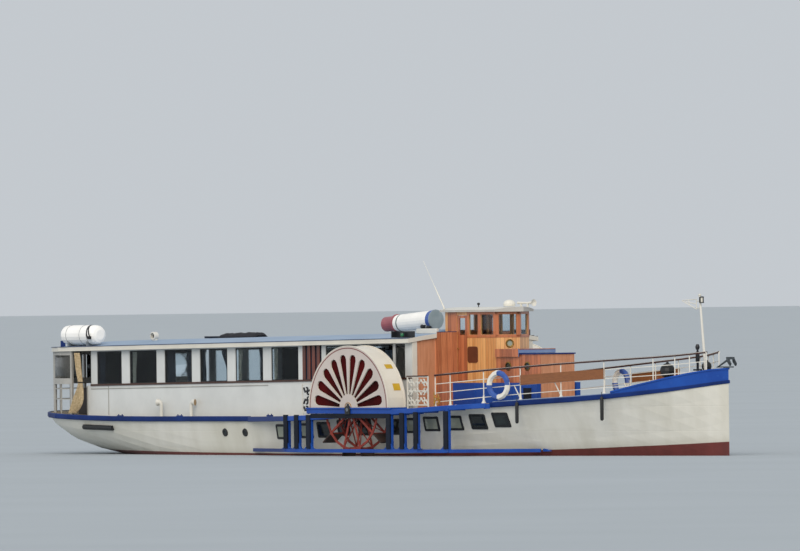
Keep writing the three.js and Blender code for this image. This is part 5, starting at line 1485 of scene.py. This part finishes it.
# Ends of each wire of the frame, as distance along the boat and height
MAST_WIRES = ((11.36, 3.53, 11.36, 3.79), (11.36, 3.775, 10.84, 3.75), (11.36, 3.535, 10.84, 3.74),
              (11.36, 3.66, 10.96, 3.72), (11.10, 3.64, 11.08, 3.76), (11.36, 3.73, 11.50, 3.73),
              (11.36, 3.56, 11.51, 3.56))
for x0, z0, x1, z1 in MAST_WIRES:
    pipe(stock, [(x0, 0, z0), (x1, 0, z1)], 0.011, 8)
mast = piece("foremast_tube", stock, rail_white)
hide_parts("foremast")
stock = []
turned(stock, ((0.030, 0), (0.034, 0.01), (0.034, 0.11), (0.030, 0.12)), (11.565, 0, 3.70), (0, 0, 1), 18)
piece("masthead_lens", stock, white_plastic)
stock = []
turned(stock, ((0.050, 0), (0.050, 0.018)), (11.565, 0, 3.683), (0, 0, 1), 18)
turned(stock, ((0.050, 0), (0.050, 0.012), (0.030, 0.026)), (11.565, 0, 3.818), (0, 0, 1), 18)
block(stock, 11.512, 11.524, -0.045, 0.045, 3.69, 3.83)
block(stock, 11.604, 11.616, -0.012, 0.012, 3.69, 3.83)
piece("masthead_lantern", stock, black_paint)

# Bitt post of black painted iron behind the mast: a turned shaft with a knob, and a cross bar
stock = []
foot = on_top("deck", 11.38, 0)
head = 2.69 - foot
rows = ((0.050, -0.01), (0.050, 0.10), (0.030, 0.13), (0.030, head - 0.44), (0.050, head - 0.41),
        (0.050, head - 0.20), (0.024, head - 0.17), (0.024, head - 0.14), (0.050, head - 0.10),
        (0.054, head - 0.06), (0.030, head))
turned(stock, rows, (11.38, 0, foot), (0, 0, 1), 20)
pipe(stock, [(11.38, -0.13, 2.07), (11.38, 0.13, 2.07)], 0.020, 12)
bitt = piece("bitt_shaft", stock, black_paint)
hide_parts("bitt_post")

# White iron cleats inside the starboard rail, and a small one beside the locker
stock = []
for x, y in ((10.02, 0.14 - rim_at(10.02)[0]), (3.61, -1.02)):
    z = on_top("deck", x, y)
    block(stock, x - 0.05, x + 0.05, y - 0.03, y + 0.03, z - 0.005, z + 0.05)
    horns = [(x - 0.11, y, z + 0.075), (x, y, z + 0.06), (x + 0.11, y, z + 0.075)]
    pipe(stock, horns, (0.012, 0.02, 0.012), 8)
piece("deck_cleats", stock, rail_white)

# On the wheelhouse: the lamp dome and the horn, both white, and the whip aerial with its sleeve
finish_node(white_plastic, "lamp_dome", "horn", "whip_aerial")
stock = []
pipe(stock, [(2.58, -0.56, 3.63), (2.23, -0.56, 4.157)], (0.020, 0.013), 10)
piece("aerial_sleeve", stock, white_plastic)

# Anchor stowed over the stem, its zinc gone dull and dark, and the two round fenders of black
# rubber with their rope eyes
old_zinc, tree, shader, place = surface("weathered_galvanised_iron", 0.6, 0.6)
spangle = noise(tree, place, 22.0, 5.0)
stain(tree, shader, spangle, "2F3437", "5F676B", 0.3, 0.7)
finish_node(old_zinc, "anchor")
finish_node(rubber_black, "ball_fender_starboard", "ball_fender_port")
stock = []
for x, y, z in ((10.82, -0.48, 2.05 + 0.185), (11.40, 0.27, 2.15 + 0.125)):
    turned(stock, ((0.045, -0.02), (0.035, 0.02), (0.018, 0.04)), (x, y, z - 0.005), (0, 0, 1), 14)
piece("fender_eyes", stock, rubber_black)
